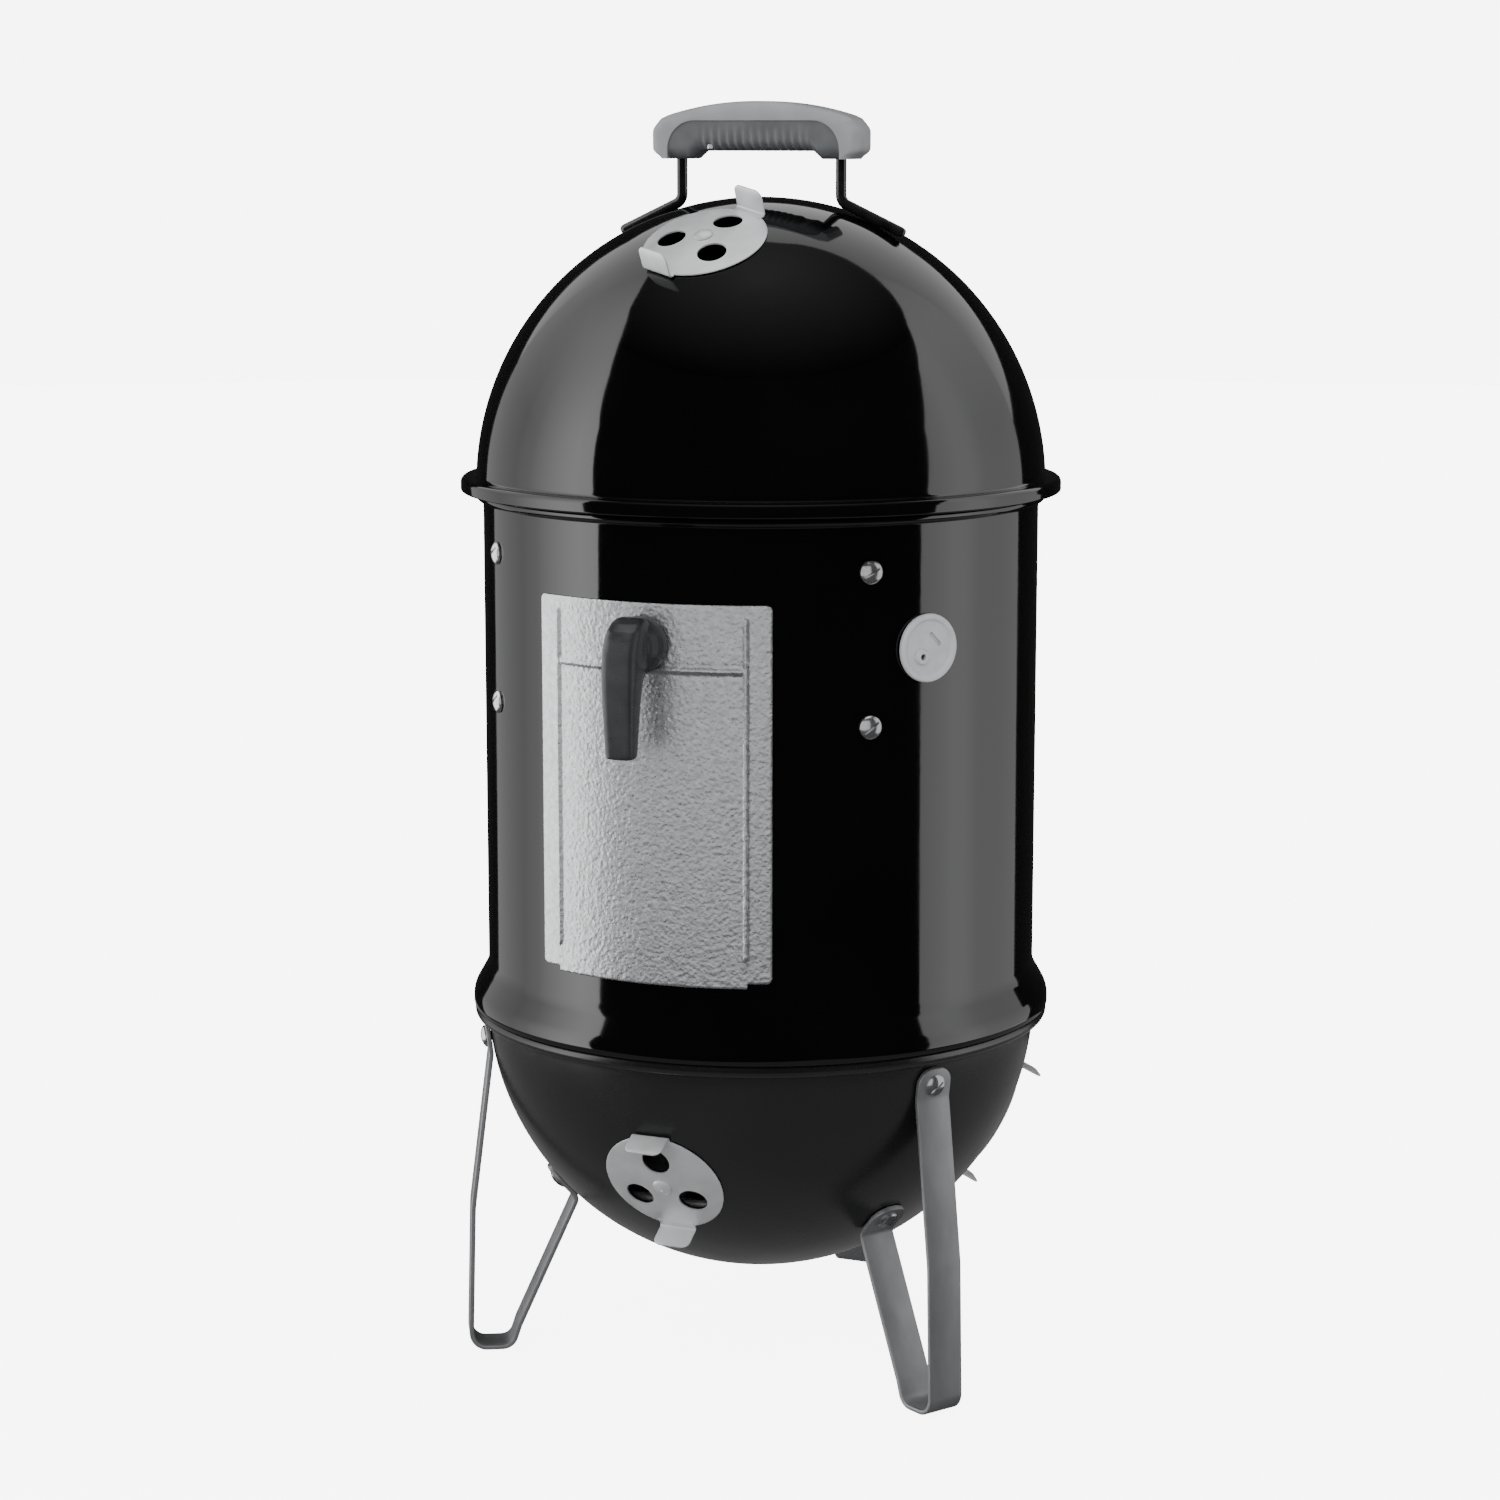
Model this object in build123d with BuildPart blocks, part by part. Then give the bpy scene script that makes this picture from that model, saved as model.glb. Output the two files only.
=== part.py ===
from build123d import *
import os
from math import asin, atan2, cos, degrees, radians, sin, sqrt

os.makedirs("parts", exist_ok=True)

# A vertical water smoker: an enamelled charcoal bowl on three strap legs, a barrel that lifts off it,
# and a domed lid. Millimetres. The origin is on the ground under the barrel's vertical axis, +Z is
# up and the fuel door faces -Y. An azimuth is measured from the front (-Y) towards +X.

# ---- Driving dimensions ----
WALL = 1.0  # enamelled sheet steel
RUN = 0.05  # radial clearance of a pin in its hole
GAP = 0.3  # clearance between pieces that rest on each other but part

BOWL_R, BOWL_CENTRE_Z = 175.2, 231.0  # bowl: a little less than half a sphere, open at the top
COLLAR_TOP_Z = 246.0  # the bowl's collar stands up inside the barrel's skirt
LIP_R, LIP_Z, LIP_BEAD_R = 183.0, 224.2, 4.3  # rolled bead round the bowl's mouth

BARREL_R = 174.0
SKIRT_R, SKIRT_BOTTOM_Z, SKIRT_TOP_Z = 183.7, 228.9, 236.5  # the barrel flares over the bowl
FLARE_TOP_Z = 253.5
STOP_BEAD_R, STOP_BEAD_NECK, STOP_BEAD_Z = 3.2, 1.2, 552.0  # swaged bead under the lid's flange
RIM_WIRE_R, RIM_TOP_Z = 2.6, 562.3  # wired top edge that carries the lid

LID_R, LID_CENTRE_Z = 178.4, 557.2  # the dome is part of a sphere too
FLANGE_R, FLANGE_TOP_Z, FLANGE_BOTTOM_Z = 188.0, 563.6, 556.2
HEM_R = 1.3

DOOR_WIDTH, DOOR_BOTTOM_Z, DOOR_TOP_Z = 150.0, 276.6, 503.0
DOOR_SHEET, DOOR_GAP = 0.8, 0.6
TONGUE_WIDTH, TONGUE_DROP = 123.0, 3.0  # the door's middle reaches a little lower
OPENING_WIDTH, OPENING_BOTTOM_Z, OPENING_TOP_Z = 133.0, 284.0, 496.0
LATCH_Z, LATCH_REACH, LATCH_BOTTOM_Z = 479.0, 216.0, 415.0

DISC_R, DISC_SHEET, DISC_DOME_R = 38.0, 1.0, 178.5  # one damper pattern serves bowl and lid
VENT_R, VENT_PITCH_R, VENT_COUNT = 9.0, 20.5, 3
TAB_WIDTH, TAB_LENGTH = 24.0, 17.0
DISC_LIFT = 0.6  # from the shell to the underside of the disc's middle
RIVET_R, RIVET_HEAD_R, RIVET_HEAD_H = 3.0, 6.0, 2.4
LID_DAMPER_R, LID_DAMPER_TURN = 87.0, -25.0
BOWL_DAMPER_R = 150.9
BOWL_DAMPERS = {"front": 0.0, "right": 120.0, "left": -120.0}

LEGS = {"right": 60.0, "left": -60.0, "rear": 180.0}
STRAP_WIDTH, STRAP_SHEET = 25.0, 3.0
FOOT_R, FOOT_BEND_R = 175.5, 15.0  # centre line and outside radius of the bend on the ground
FOOT_FLAT = 6.0  # flat length pressed in the middle of the bend
LEG_BOLT_UPPER_Z, LEG_BOLT_LOWER_Z = 206.0, 112.0
M6_R, M6_HEAD_R, M6_HEAD_H = 3.0, 7.0, 3.6
NUT_R, NUT_H = 5.6, 4.5

BRACKETS = {"front_right": 45.0, "front_left": -45.0, "rear_right": 135.0, "rear_left": -135.0}
BRACKET_WIDTH, BRACKET_SHEET, BRACKET_R = 20.0, 1.5, 172.3
BRACKET_BOLT_Z = (521.0, 429.0)
UPPER_LEDGE_Z, LOWER_LEDGE_Z, PAN_LEDGE_Z = 531.0, 421.0, 398.0

GROMMET_AZIMUTH, GROMMET_Z, GROMMET_R, GROMMET_NECK_R = 57.7, 474.0, 20.5, 16.0
PROBE_R, PROBE_LENGTH = 2.0, 8.4

ROD_R, POST_X, HANDLE_ROD_Z = 3.35, 53.5, 772.0
HANDLE_HALF, HANDLE_DEPTH, HANDLE_TOP_Z = 69.5, 28.0, 794.0
HANDLE_BOTTOM_Z, GRIP_BOTTOM_Z = 758.7, 763.5

UPPER_GRATE_R, LOWER_GRATE_R, CHARCOAL_GRATE_R = 166.0, 157.0, 134.0
PAN_R, PAN_BOTTOM_R, PAN_DEPTH = 147.0, 108.0, 92.0
RING_R, RING_HEIGHT = 116.0, 104.0

UPRIGHT = Axis.Z


# ---- Places on the turned shells ----
def half_plane(azimuth):
    """The vertical plane through the axis: x outwards at this azimuth, y up."""
    a = radians(azimuth)
    return Plane(origin=(0, 0, 0), x_dir=(sin(a), -cos(a), 0), z_dir=(-cos(a), -sin(a), 0))


def outward(azimuth, r, z, tilt=0.0, turn=0.0):
    """A plane on a shell, z outwards and raised by tilt, x level and to the right, then turned about z."""
    a, t, b = radians(azimuth), radians(tilt), radians(turn)
    level = Plane(
        origin=(r * sin(a), -r * cos(a), z),
        x_dir=(cos(a), sin(a), 0),
        z_dir=(sin(a) * cos(t), -cos(a) * cos(t), sin(t)),
    )
    x_dir = level.x_dir * cos(b) + level.y_dir * sin(b)
    return Plane(origin=level.origin, x_dir=x_dir, z_dir=level.z_dir)


def on_sphere(z, centre_z, radius):
    """Distance of a spherical shell from the axis at z, and how far its normal is raised, in degrees."""
    rise = z - centre_z
    return sqrt(radius**2 - rise**2), degrees(asin(rise / radius))


def on_bowl(azimuth, z, turn=0.0):
    r, tilt = on_sphere(z, BOWL_CENTRE_Z, BOWL_R)
    return outward(azimuth, r, z, tilt, turn)


def finish(part, name):
    part.label = name
    export_step(part, f"parts/{name}.step")


LID_DAMPER_Z = LID_CENTRE_Z + sqrt(LID_R**2 - LID_DAMPER_R**2)
BOWL_DAMPER_Z = BOWL_CENTRE_Z - sqrt(BOWL_R**2 - BOWL_DAMPER_R**2)
LID_DAMPER_TILT = on_sphere(LID_DAMPER_Z, LID_CENTRE_Z, LID_R)[1]
LID_DAMPER_PLANE = outward(0, LID_DAMPER_R, LID_DAMPER_Z, LID_DAMPER_TILT, LID_DAMPER_TURN)
BOWL_DAMPER_PLANES = {side: on_bowl(azimuth, BOWL_DAMPER_Z) for side, azimuth in BOWL_DAMPERS.items()}
PROBE_PLANE = outward(GROMMET_AZIMUTH, BARREL_R, GROMMET_Z)


# ---- Bowl ----
LEG_BOLT_PLANES = [
    on_bowl(azimuth, z) for azimuth in LEGS.values() for z in (LEG_BOLT_UPPER_Z, LEG_BOLT_LOWER_Z)
]
MOUTH_Z = LIP_Z - LIP_BEAD_R  # the sphere ends and the collar begins
MOUTH_R = on_sphere(MOUTH_Z, BOWL_CENTRE_Z, BOWL_R)[0]
LIP_NECK = LIP_R - LIP_BEAD_R - MOUTH_R + WALL  # from the middle of the bead to the collar's inside

with BuildPart() as bowl:
    with BuildSketch(Plane.XZ):
        with Locations((0, BOWL_CENTRE_Z)):
            Circle(BOWL_R)
            Circle(BOWL_R - WALL, mode=Mode.SUBTRACT)
        with Locations((0, MOUTH_Z)):
            Rectangle(3 * BOWL_R, 3 * BOWL_R, align=(Align.CENTER, Align.MIN), mode=Mode.SUBTRACT)
        with Locations((-BOWL_R, MOUTH_Z)):
            Rectangle(BOWL_R, 2 * BOWL_R, align=(Align.MIN, Align.MAX), mode=Mode.SUBTRACT)
        with Locations((MOUTH_R - WALL, MOUTH_Z)):
            Rectangle(WALL, COLLAR_TOP_Z - MOUTH_Z, align=Align.MIN)
        # the swaged bead stands out of the collar and is open behind
        for r, mode in ((LIP_BEAD_R, Mode.ADD), (LIP_BEAD_R - WALL, Mode.SUBTRACT)):
            with Locations((LIP_R - LIP_BEAD_R, LIP_Z)):
                Circle(r, mode=mode)
                Rectangle(LIP_NECK, 2 * r, align=(Align.MAX, Align.CENTER), mode=mode)
    revolve(axis=UPRIGHT)
    with BuildSketch(*BOWL_DAMPER_PLANES.values()):
        Circle(RIVET_R + RUN)
        with PolarLocations(VENT_PITCH_R, VENT_COUNT, start_angle=90):
            Circle(VENT_R)
    extrude(amount=8, both=True, mode=Mode.SUBTRACT)
    with BuildSketch(*LEG_BOLT_PLANES):
        Circle(M6_R + RUN)
    extrude(amount=5, both=True, mode=Mode.SUBTRACT)
finish(bowl.part, "bowl")


# ---- Legs ----
def along(point, direction, distance):
    return (point[0] + direction[0] * distance, point[1] + direction[1] * distance)


def strap_line(z, lower, upper, stand_off):
    """Ends of a straight stretch of the strap that lies along the bowl at height z."""
    r, tilt = on_sphere(z, BOWL_CENTRE_Z, BOWL_R)
    normal = (cos(radians(tilt)), sin(radians(tilt)))
    tangent = (-normal[1], normal[0])
    foot = along((r, z), normal, stand_off)
    return along(foot, tangent, -lower), along(foot, tangent, upper)


# The line follows one face of the strap: the face on the bowl above, the face away from it below.
UPPER_TAB = strap_line(LEG_BOLT_UPPER_Z, lower=9, upper=11, stand_off=0.1)
LOWER_TAB = strap_line(LEG_BOLT_LOWER_Z, lower=14, upper=11, stand_off=STRAP_SHEET + 0.1)
INNER_BEND_R = FOOT_BEND_R - STRAP_SHEET

for side, azimuth in LEGS.items():
    with BuildPart() as leg:
        with BuildSketch(half_plane(azimuth)):
            with BuildLine():
                strap = FilletPolyline(
                    UPPER_TAB[1],
                    UPPER_TAB[0],
                    (FOOT_R + INNER_BEND_R - 2.5, 95),
                    (FOOT_R + INNER_BEND_R, STRAP_SHEET),
                    (FOOT_R - INNER_BEND_R, STRAP_SHEET),
                    (FOOT_R - INNER_BEND_R - 4.3, STRAP_SHEET + 13),
                    LOWER_TAB[0],
                    LOWER_TAB[1],
                    radius=[12, 60, 8.5, 7.5, 12, 4],
                )
                offset(amount=STRAP_SHEET, side=Side.LEFT)
            make_face()
        extrude(amount=STRAP_WIDTH / 2, both=True)
        ends = leg.edges().filter_by(lambda e: abs(e.length - STRAP_SHEET) < 0.01)
        fillet(ends, radius=STRAP_WIDTH / 2 - 2.5)
        with BuildSketch(on_bowl(azimuth, LEG_BOLT_UPPER_Z), on_bowl(azimuth, LEG_BOLT_LOWER_Z)):
            Circle(M6_R + RUN)
        extrude(amount=6, both=True, mode=Mode.SUBTRACT)
    finish(leg.part, f"leg_{side}")


# ---- Bolts, nuts and rivets ----
def placed(part, planes):
    """Copies of a piece modelled at the origin, one standing on each plane."""
    with BuildPart() as copies:
        with Locations(*planes):
            add(part)
    return copies.part


def slotted_bolts(planes, length):
    """Slotted truss-head bolts whose heads stand on the planes."""
    with BuildPart() as bolt:
        with BuildSketch(Plane.XZ):
            with BuildLine():
                Polyline(
                    (0, M6_HEAD_H),
                    (0, -length),
                    (M6_R, -length),
                    (M6_R, 0),
                    (M6_HEAD_R, 0),
                    (M6_HEAD_R, 0.8),
                )
                TangentArc((0, M6_HEAD_H), (M6_HEAD_R, 0.8), tangent=(1, 0))
            make_face()
        revolve(axis=UPRIGHT)
        with BuildSketch(Plane.XY.offset(M6_HEAD_H)):
            Rectangle(2 * M6_HEAD_R, 1.6, rotation=35)
        extrude(amount=-1.7, mode=Mode.SUBTRACT)
    return placed(bolt.part, planes)


def hex_nuts(planes):
    """Nuts whose outer faces lie on the planes."""
    with BuildPart() as nuts:
        with BuildSketch(*planes):
            RegularPolygon(NUT_R, 6)
            Circle(M6_R + RUN, mode=Mode.SUBTRACT)
        extrude(amount=-NUT_H)
    return nuts.part


def rivets(planes):
    """Domed rivets that hold a damper disc against a shell."""
    head = DISC_LIFT + DISC_SHEET + 0.1
    tail = -WALL - 0.15
    with BuildPart() as rivet:
        with BuildSketch(Plane.XZ):
            with BuildLine():
                Polyline(
                    (0, head + RIVET_HEAD_H),
                    (0, tail - 1.6),
                    (4.5, tail - 1.6),
                    (4.5, tail),
                    (RIVET_R, tail),
                    (RIVET_R, head),
                    (RIVET_HEAD_R, head),
                )
                TangentArc((0, head + RIVET_HEAD_H), (RIVET_HEAD_R, head), tangent=(1, 0))
            make_face()
        revolve(axis=UPRIGHT)
    return placed(rivet.part, planes)


LEG_BOLT_SEATS = [plane.offset(STRAP_SHEET + 0.1) for plane in LEG_BOLT_PLANES]
LEG_NUT_SEATS = [plane.offset(-WALL - 0.2) for plane in LEG_BOLT_PLANES]
finish(slotted_bolts(LEG_BOLT_SEATS, length=15), "leg_bolts")  # the lower three carry the coals' grate
finish(hex_nuts(LEG_NUT_SEATS), "leg_nuts")
finish(rivets(BOWL_DAMPER_PLANES.values()), "bowl_damper_rivets")
finish(rivets([LID_DAMPER_PLANE]), "lid_damper_rivet")


# ---- Dampers ----
def damper(plane):
    """Domed sheet disc with three vents, a pivot hole and two tabs folded out at right angles."""
    fold = DISC_R + 2.5  # outer face of a tab, from the pivot
    dome_centre = DISC_LIFT - DISC_DOME_R
    fold_height = dome_centre + sqrt(DISC_DOME_R**2 - fold**2)
    with BuildPart() as disc:
        with BuildSketch(Plane.XZ):
            with Locations((0, dome_centre)):
                Circle(DISC_DOME_R + DISC_SHEET)
                Circle(DISC_DOME_R, mode=Mode.SUBTRACT)
            with Locations((0, DISC_LIFT + DISC_SHEET)):
                Rectangle(fold, 10, align=(Align.MIN, Align.MAX), mode=Mode.INTERSECT)
        revolve(axis=UPRIGHT)
        with BuildSketch(Plane.XY.offset(-10)):
            Circle(DISC_R)
            Rectangle(TAB_WIDTH, 2 * fold)
        extrude(amount=20, mode=Mode.INTERSECT)
        # the tabs start inside the sheet, clear of the shell below it
        with BuildSketch(Plane.XY.offset(fold_height + 0.3)):
            with GridLocations(1, 2 * fold - DISC_SHEET, 1, 2):
                Rectangle(TAB_WIDTH, DISC_SHEET)
        extrude(amount=TAB_LENGTH)
        with BuildSketch(Plane.XY.offset(-10)):
            Circle(RIVET_R + RUN)
            with PolarLocations(VENT_PITCH_R, VENT_COUNT, start_angle=90):
                Circle(VENT_R)
        extrude(amount=20, mode=Mode.SUBTRACT)
    return placed(disc.part, [plane])


for side, plane in BOWL_DAMPER_PLANES.items():
    finish(damper(plane), f"bowl_damper_{side}")
finish(damper(LID_DAMPER_PLANE), "lid_damper")


# ---- Barrel ----
BRACKET_BOLT_PLANES = [
    outward(azimuth, BARREL_R, z) for azimuth in BRACKETS.values() for z in BRACKET_BOLT_Z
]

with BuildPart() as barrel:
    with BuildSketch(Plane.XZ):
        with BuildLine():
            FilletPolyline(
                (SKIRT_R, SKIRT_BOTTOM_Z),
                (SKIRT_R, SKIRT_TOP_Z),
                (BARREL_R, FLARE_TOP_Z),
                (BARREL_R, RIM_TOP_Z - RIM_WIRE_R),
                radius=16,
            )
            offset(amount=WALL, side=Side.LEFT)
        make_face()
        with Locations((BARREL_R - WALL + RIM_WIRE_R - 0.2, RIM_TOP_Z - RIM_WIRE_R)):
            Circle(RIM_WIRE_R)
        for r, mode in ((STOP_BEAD_R, Mode.ADD), (STOP_BEAD_R - WALL, Mode.SUBTRACT)):
            with Locations((BARREL_R + STOP_BEAD_NECK, STOP_BEAD_Z)):
                Circle(r, mode=mode)
                Rectangle(
                    STOP_BEAD_NECK + WALL, 2 * r, align=(Align.MAX, Align.CENTER), mode=mode
                )
    revolve(axis=UPRIGHT)
    with BuildSketch(Plane.XZ.offset(BARREL_R - 50)):
        with Locations((0, (OPENING_BOTTOM_Z + OPENING_TOP_Z) / 2)):
            RectangleRounded(OPENING_WIDTH, OPENING_TOP_Z - OPENING_BOTTOM_Z, 10)
    extrude(amount=60, mode=Mode.SUBTRACT)
    with BuildSketch(*BRACKET_BOLT_PLANES):
        Circle(M6_R + RUN)
    extrude(amount=5, both=True, mode=Mode.SUBTRACT)
    with BuildSketch(PROBE_PLANE):
        Circle(GROMMET_NECK_R + RUN)
    extrude(amount=10, both=True, mode=Mode.SUBTRACT)
finish(barrel.part, "barrel")

finish(slotted_bolts(BRACKET_BOLT_PLANES, length=10), "bracket_bolts")
BRACKET_BACK = BARREL_R - BRACKET_R + BRACKET_SHEET
finish(hex_nuts([plane.offset(-BRACKET_BACK) for plane in BRACKET_BOLT_PLANES]), "bracket_nuts")

for side, azimuth in BRACKETS.items():
    with BuildPart() as bracket:
        with BuildSketch(half_plane(azimuth)):
            with Locations((BRACKET_R - BRACKET_SHEET, PAN_LEDGE_Z - BRACKET_SHEET)):
                Rectangle(BRACKET_SHEET, UPPER_LEDGE_Z + 12 - PAN_LEDGE_Z, align=Align.MIN)
            for ledge_z, reach in (
                (UPPER_LEDGE_Z, UPPER_GRATE_R - 6),
                (LOWER_LEDGE_Z, LOWER_GRATE_R - 6),
                (PAN_LEDGE_Z, PAN_R - 6),
            ):
                with Locations((reach, ledge_z)):
                    Rectangle(BRACKET_R - reach, BRACKET_SHEET, align=(Align.MIN, Align.MAX))
        extrude(amount=BRACKET_WIDTH / 2, both=True)
        with BuildSketch(*[outward(azimuth, BARREL_R, z) for z in BRACKET_BOLT_Z]):
            Circle(M6_R + RUN)
        extrude(amount=-8, mode=Mode.SUBTRACT)
    finish(bracket.part, f"grate_bracket_{side}")

# The silicone grommet is clipped into the wall: a face outside, a collar inside, and a probe hole.
with BuildPart() as grommet:
    with BuildSketch(Plane.XZ):
        with BuildLine():
            Polyline(
                (0, 1.8),
                (GROMMET_R - 3.5, 1.8),
                (GROMMET_R - 2.5, 3.0),
                (GROMMET_R - 0.8, 3.0),
                (GROMMET_R, 2.2),
                (GROMMET_R, 0),
                (GROMMET_NECK_R, 0),
                (GROMMET_NECK_R, -2.4),
                (GROMMET_NECK_R + 2.5, -2.4),
                (GROMMET_NECK_R + 1.5, -4.8),
                (0, -4.8),
                close=True,
            )
        make_face()
    revolve(axis=UPRIGHT)
    with BuildSketch(Plane.XY):
        with Locations((-5, -5)):
            Circle(4.5)
    extrude(amount=PROBE_LENGTH - 4.8)
    with BuildSketch(Plane.XY.offset(-4.8)):
        with Locations((-5, -5)):
            Circle(PROBE_R)
    extrude(amount=PROBE_LENGTH, mode=Mode.SUBTRACT)
    with BuildSketch(Plane.XY.offset(1.8)):
        with Locations((5, 5)):
            SlotOverall(11, 2.6, rotation=-45)
    extrude(amount=-1.2, mode=Mode.SUBTRACT)
finish(placed(grommet.part, [PROBE_PLANE]), "probe_grommet")


# ---- Grates, water pan and charcoal ring ----
def grate(radius, z, rim_wire_r, bar_r, pitch):
    """Welded grate, its rim resting at z: parallel bars inside a rim, on two stays that cross under them."""
    centre = z + rim_wire_r
    count = 2 * int((radius - 3 * rim_wire_r) / pitch) + 1
    with BuildPart() as wires:
        with BuildSketch(Plane.XY.offset(centre)):
            with GridLocations(pitch, 1, count, 1):
                Rectangle(2 * bar_r, 2 * radius)
            Circle(radius - rim_wire_r, mode=Mode.INTERSECT)
        extrude(amount=bar_r, both=True)
        with BuildSketch(Plane.XY.offset(centre - bar_r)):
            with GridLocations(1, radius, 1, 2):
                Rectangle(2 * radius, 2 * bar_r)
            Circle(radius - rim_wire_r, mode=Mode.INTERSECT)
        extrude(amount=bar_r - 0.5, both=True)
        with BuildSketch(Plane.XY.offset(centre)):
            Circle(radius)
            Circle(radius - 2 * rim_wire_r, mode=Mode.SUBTRACT)
        extrude(amount=rim_wire_r, both=True)
    return wires.part


CHARCOAL_GRATE_Z = 123.0
finish(grate(UPPER_GRATE_R, UPPER_LEDGE_Z + GAP, 3.0, 2.0, 15), "upper_cooking_grate")
finish(grate(LOWER_GRATE_R, LOWER_LEDGE_Z + GAP, 3.0, 2.0, 15), "lower_cooking_grate")
finish(grate(CHARCOAL_GRATE_R, CHARCOAL_GRATE_Z, 3.0, 3.0, 20), "charcoal_grate")

with BuildPart() as pan:
    with BuildSketch(Plane.XZ):
        with BuildLine():
            FilletPolyline(
                (0, PAN_LEDGE_Z + GAP - PAN_DEPTH),
                (PAN_BOTTOM_R, PAN_LEDGE_Z + GAP - PAN_DEPTH),
                (PAN_R - 8, PAN_LEDGE_Z + GAP),
                (PAN_R, PAN_LEDGE_Z + GAP),
                radius=[22, 3],
            )
            offset(amount=WALL, side=Side.LEFT)
        make_face()
    revolve(axis=UPRIGHT)
finish(pan.part, "water_pan")

RING_Z = CHARCOAL_GRATE_Z + 6.0 + GAP
with BuildPart() as ring:
    with BuildSketch(Plane.XY.offset(RING_Z)):
        Circle(RING_R)
        Circle(RING_R - WALL, mode=Mode.SUBTRACT)
    extrude(amount=RING_HEIGHT)
    with BuildSketch(
        *[
            outward(7.5 * (2 * column + row % 2), RING_R, RING_Z + RING_HEIGHT * (row + 1) / 4)
            for row in range(3)
            for column in range(24)
        ]
    ):
        Circle(7)
    extrude(amount=3, both=True, mode=Mode.SUBTRACT)
finish(ring.part, "charcoal_ring")


# ---- Fuel door and latch ----
DOOR_R = BARREL_R + DOOR_GAP
RIB_X, RIB_R = 60.7, 2.3
RIB_BOTTOM_Z, RIB_TOP_Z, CROSS_RIB_Z = 292.0, 494.0, 464.0
rib_azimuth = degrees(atan2(RIB_X, sqrt(DOOR_R**2 - RIB_X**2)))

with BuildPart() as door:
    with BuildSketch(Plane.XY.offset(DOOR_BOTTOM_Z - TONGUE_DROP)):
        Circle(DOOR_R + DOOR_SHEET)
    extrude(amount=DOOR_TOP_Z - DOOR_BOTTOM_Z + TONGUE_DROP)
    with BuildSketch(Plane.XY.offset(RIB_BOTTOM_Z)):
        with Locations((-RIB_X, -sqrt(DOOR_R**2 - RIB_X**2)), (RIB_X, -sqrt(DOOR_R**2 - RIB_X**2))):
            Circle(RIB_R)
    extrude(amount=RIB_TOP_Z - RIB_BOTTOM_Z)
    with BuildSketch(half_plane(-rib_azimuth)):
        with Locations((DOOR_R, CROSS_RIB_Z)):
            Circle(RIB_R - 0.3)
    revolve(axis=UPRIGHT, revolution_arc=2 * rib_azimuth)
    with BuildSketch(Plane.XY.offset(DOOR_BOTTOM_Z - TONGUE_DROP)):
        Circle(DOOR_R)
    extrude(amount=DOOR_TOP_Z, mode=Mode.SUBTRACT)
    with BuildSketch(Plane.XZ.offset(BARREL_R - 50)):
        with Locations((0, (DOOR_BOTTOM_Z + DOOR_TOP_Z) / 2)):
            RectangleRounded(DOOR_WIDTH, DOOR_TOP_Z - DOOR_BOTTOM_Z, 3)
        with Locations((0, DOOR_BOTTOM_Z)):
            Rectangle(TONGUE_WIDTH, 2 * TONGUE_DROP)
    extrude(amount=60, mode=Mode.INTERSECT)
    with BuildSketch(outward(0, DOOR_R, LATCH_Z)):
        Circle(RIVET_R + RUN)
    extrude(amount=5, both=True, mode=Mode.SUBTRACT)
finish(door.part, "fuel_door")

BUSH_TOP_R = DOOR_R + RIB_R + 0.5  # the bush keeps the lever clear of the ribs
with BuildPart() as bush:
    with BuildSketch(outward(0, DOOR_R + DOOR_SHEET + RUN, LATCH_Z)):
        Circle(7)
        Circle(RIVET_R + RUN, mode=Mode.SUBTRACT)
    extrude(amount=BUSH_TOP_R - DOOR_R - DOOR_SHEET - RUN)
finish(bush.part, "latch_bush")

LEVER_BASE_R = BUSH_TOP_R + GAP
LEVER_WIDTH = 22.0
with BuildPart() as lever:
    with BuildSketch(half_plane(0)):
        with BuildLine():
            FilletPolyline(
                (LEVER_BASE_R, LATCH_Z - 16),
                (LEVER_BASE_R, LATCH_Z + 16),
                (LATCH_REACH - 8, LATCH_Z + 17.6),
                (LATCH_REACH, LATCH_Z - 4),
                (LATCH_REACH - 3, LATCH_BOTTOM_Z),
                (LATCH_REACH - 17, LATCH_BOTTOM_Z),
                (LATCH_REACH - 20, LATCH_Z - 25),
                (LATCH_REACH - 26, LATCH_Z - 16),
                radius=[2, 2, 9, 12, 3, 3, 8, 4],
                close=True,
            )
        make_face()
    extrude(amount=LEVER_WIDTH / 2, both=True)
    fillet(lever.edges().filter_by(GeomType.LINE).filter_by(Axis.X, reverse=True), radius=4)
    with BuildSketch(outward(0, LEVER_BASE_R, LATCH_Z)):
        Circle(RIVET_R + RUN)
    extrude(amount=20, mode=Mode.SUBTRACT)
finish(lever.part, "latch_lever")

# Behind the door the cam's tongue turns with the lever. It ends just under the opening's top edge.
CAM_PLANE = outward(0, BARREL_R - 4.5, LATCH_Z)
CAM_SHEET = 1.5
with BuildPart() as cam:
    with BuildSketch(CAM_PLANE):
        with Locations((0, 1)):
            SlotOverall(28, 14, rotation=90)
        Circle(RIVET_R + RUN, mode=Mode.SUBTRACT)
    extrude(amount=CAM_SHEET)
finish(cam.part, "latch_cam")

with BuildPart() as spindle:
    with BuildSketch(CAM_PLANE.offset(-0.1)):
        Circle(5)
    extrude(amount=-3)
    with BuildSketch(CAM_PLANE.offset(-0.1)):
        Circle(RIVET_R)
    extrude(amount=LEVER_BASE_R + 18 - BARREL_R + 4.5)
    with BuildSketch(CAM_PLANE.offset(-3.1)):
        Rectangle(10, 1.2)
    extrude(amount=1.2, mode=Mode.SUBTRACT)
finish(spindle.part, "latch_screw")


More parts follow.
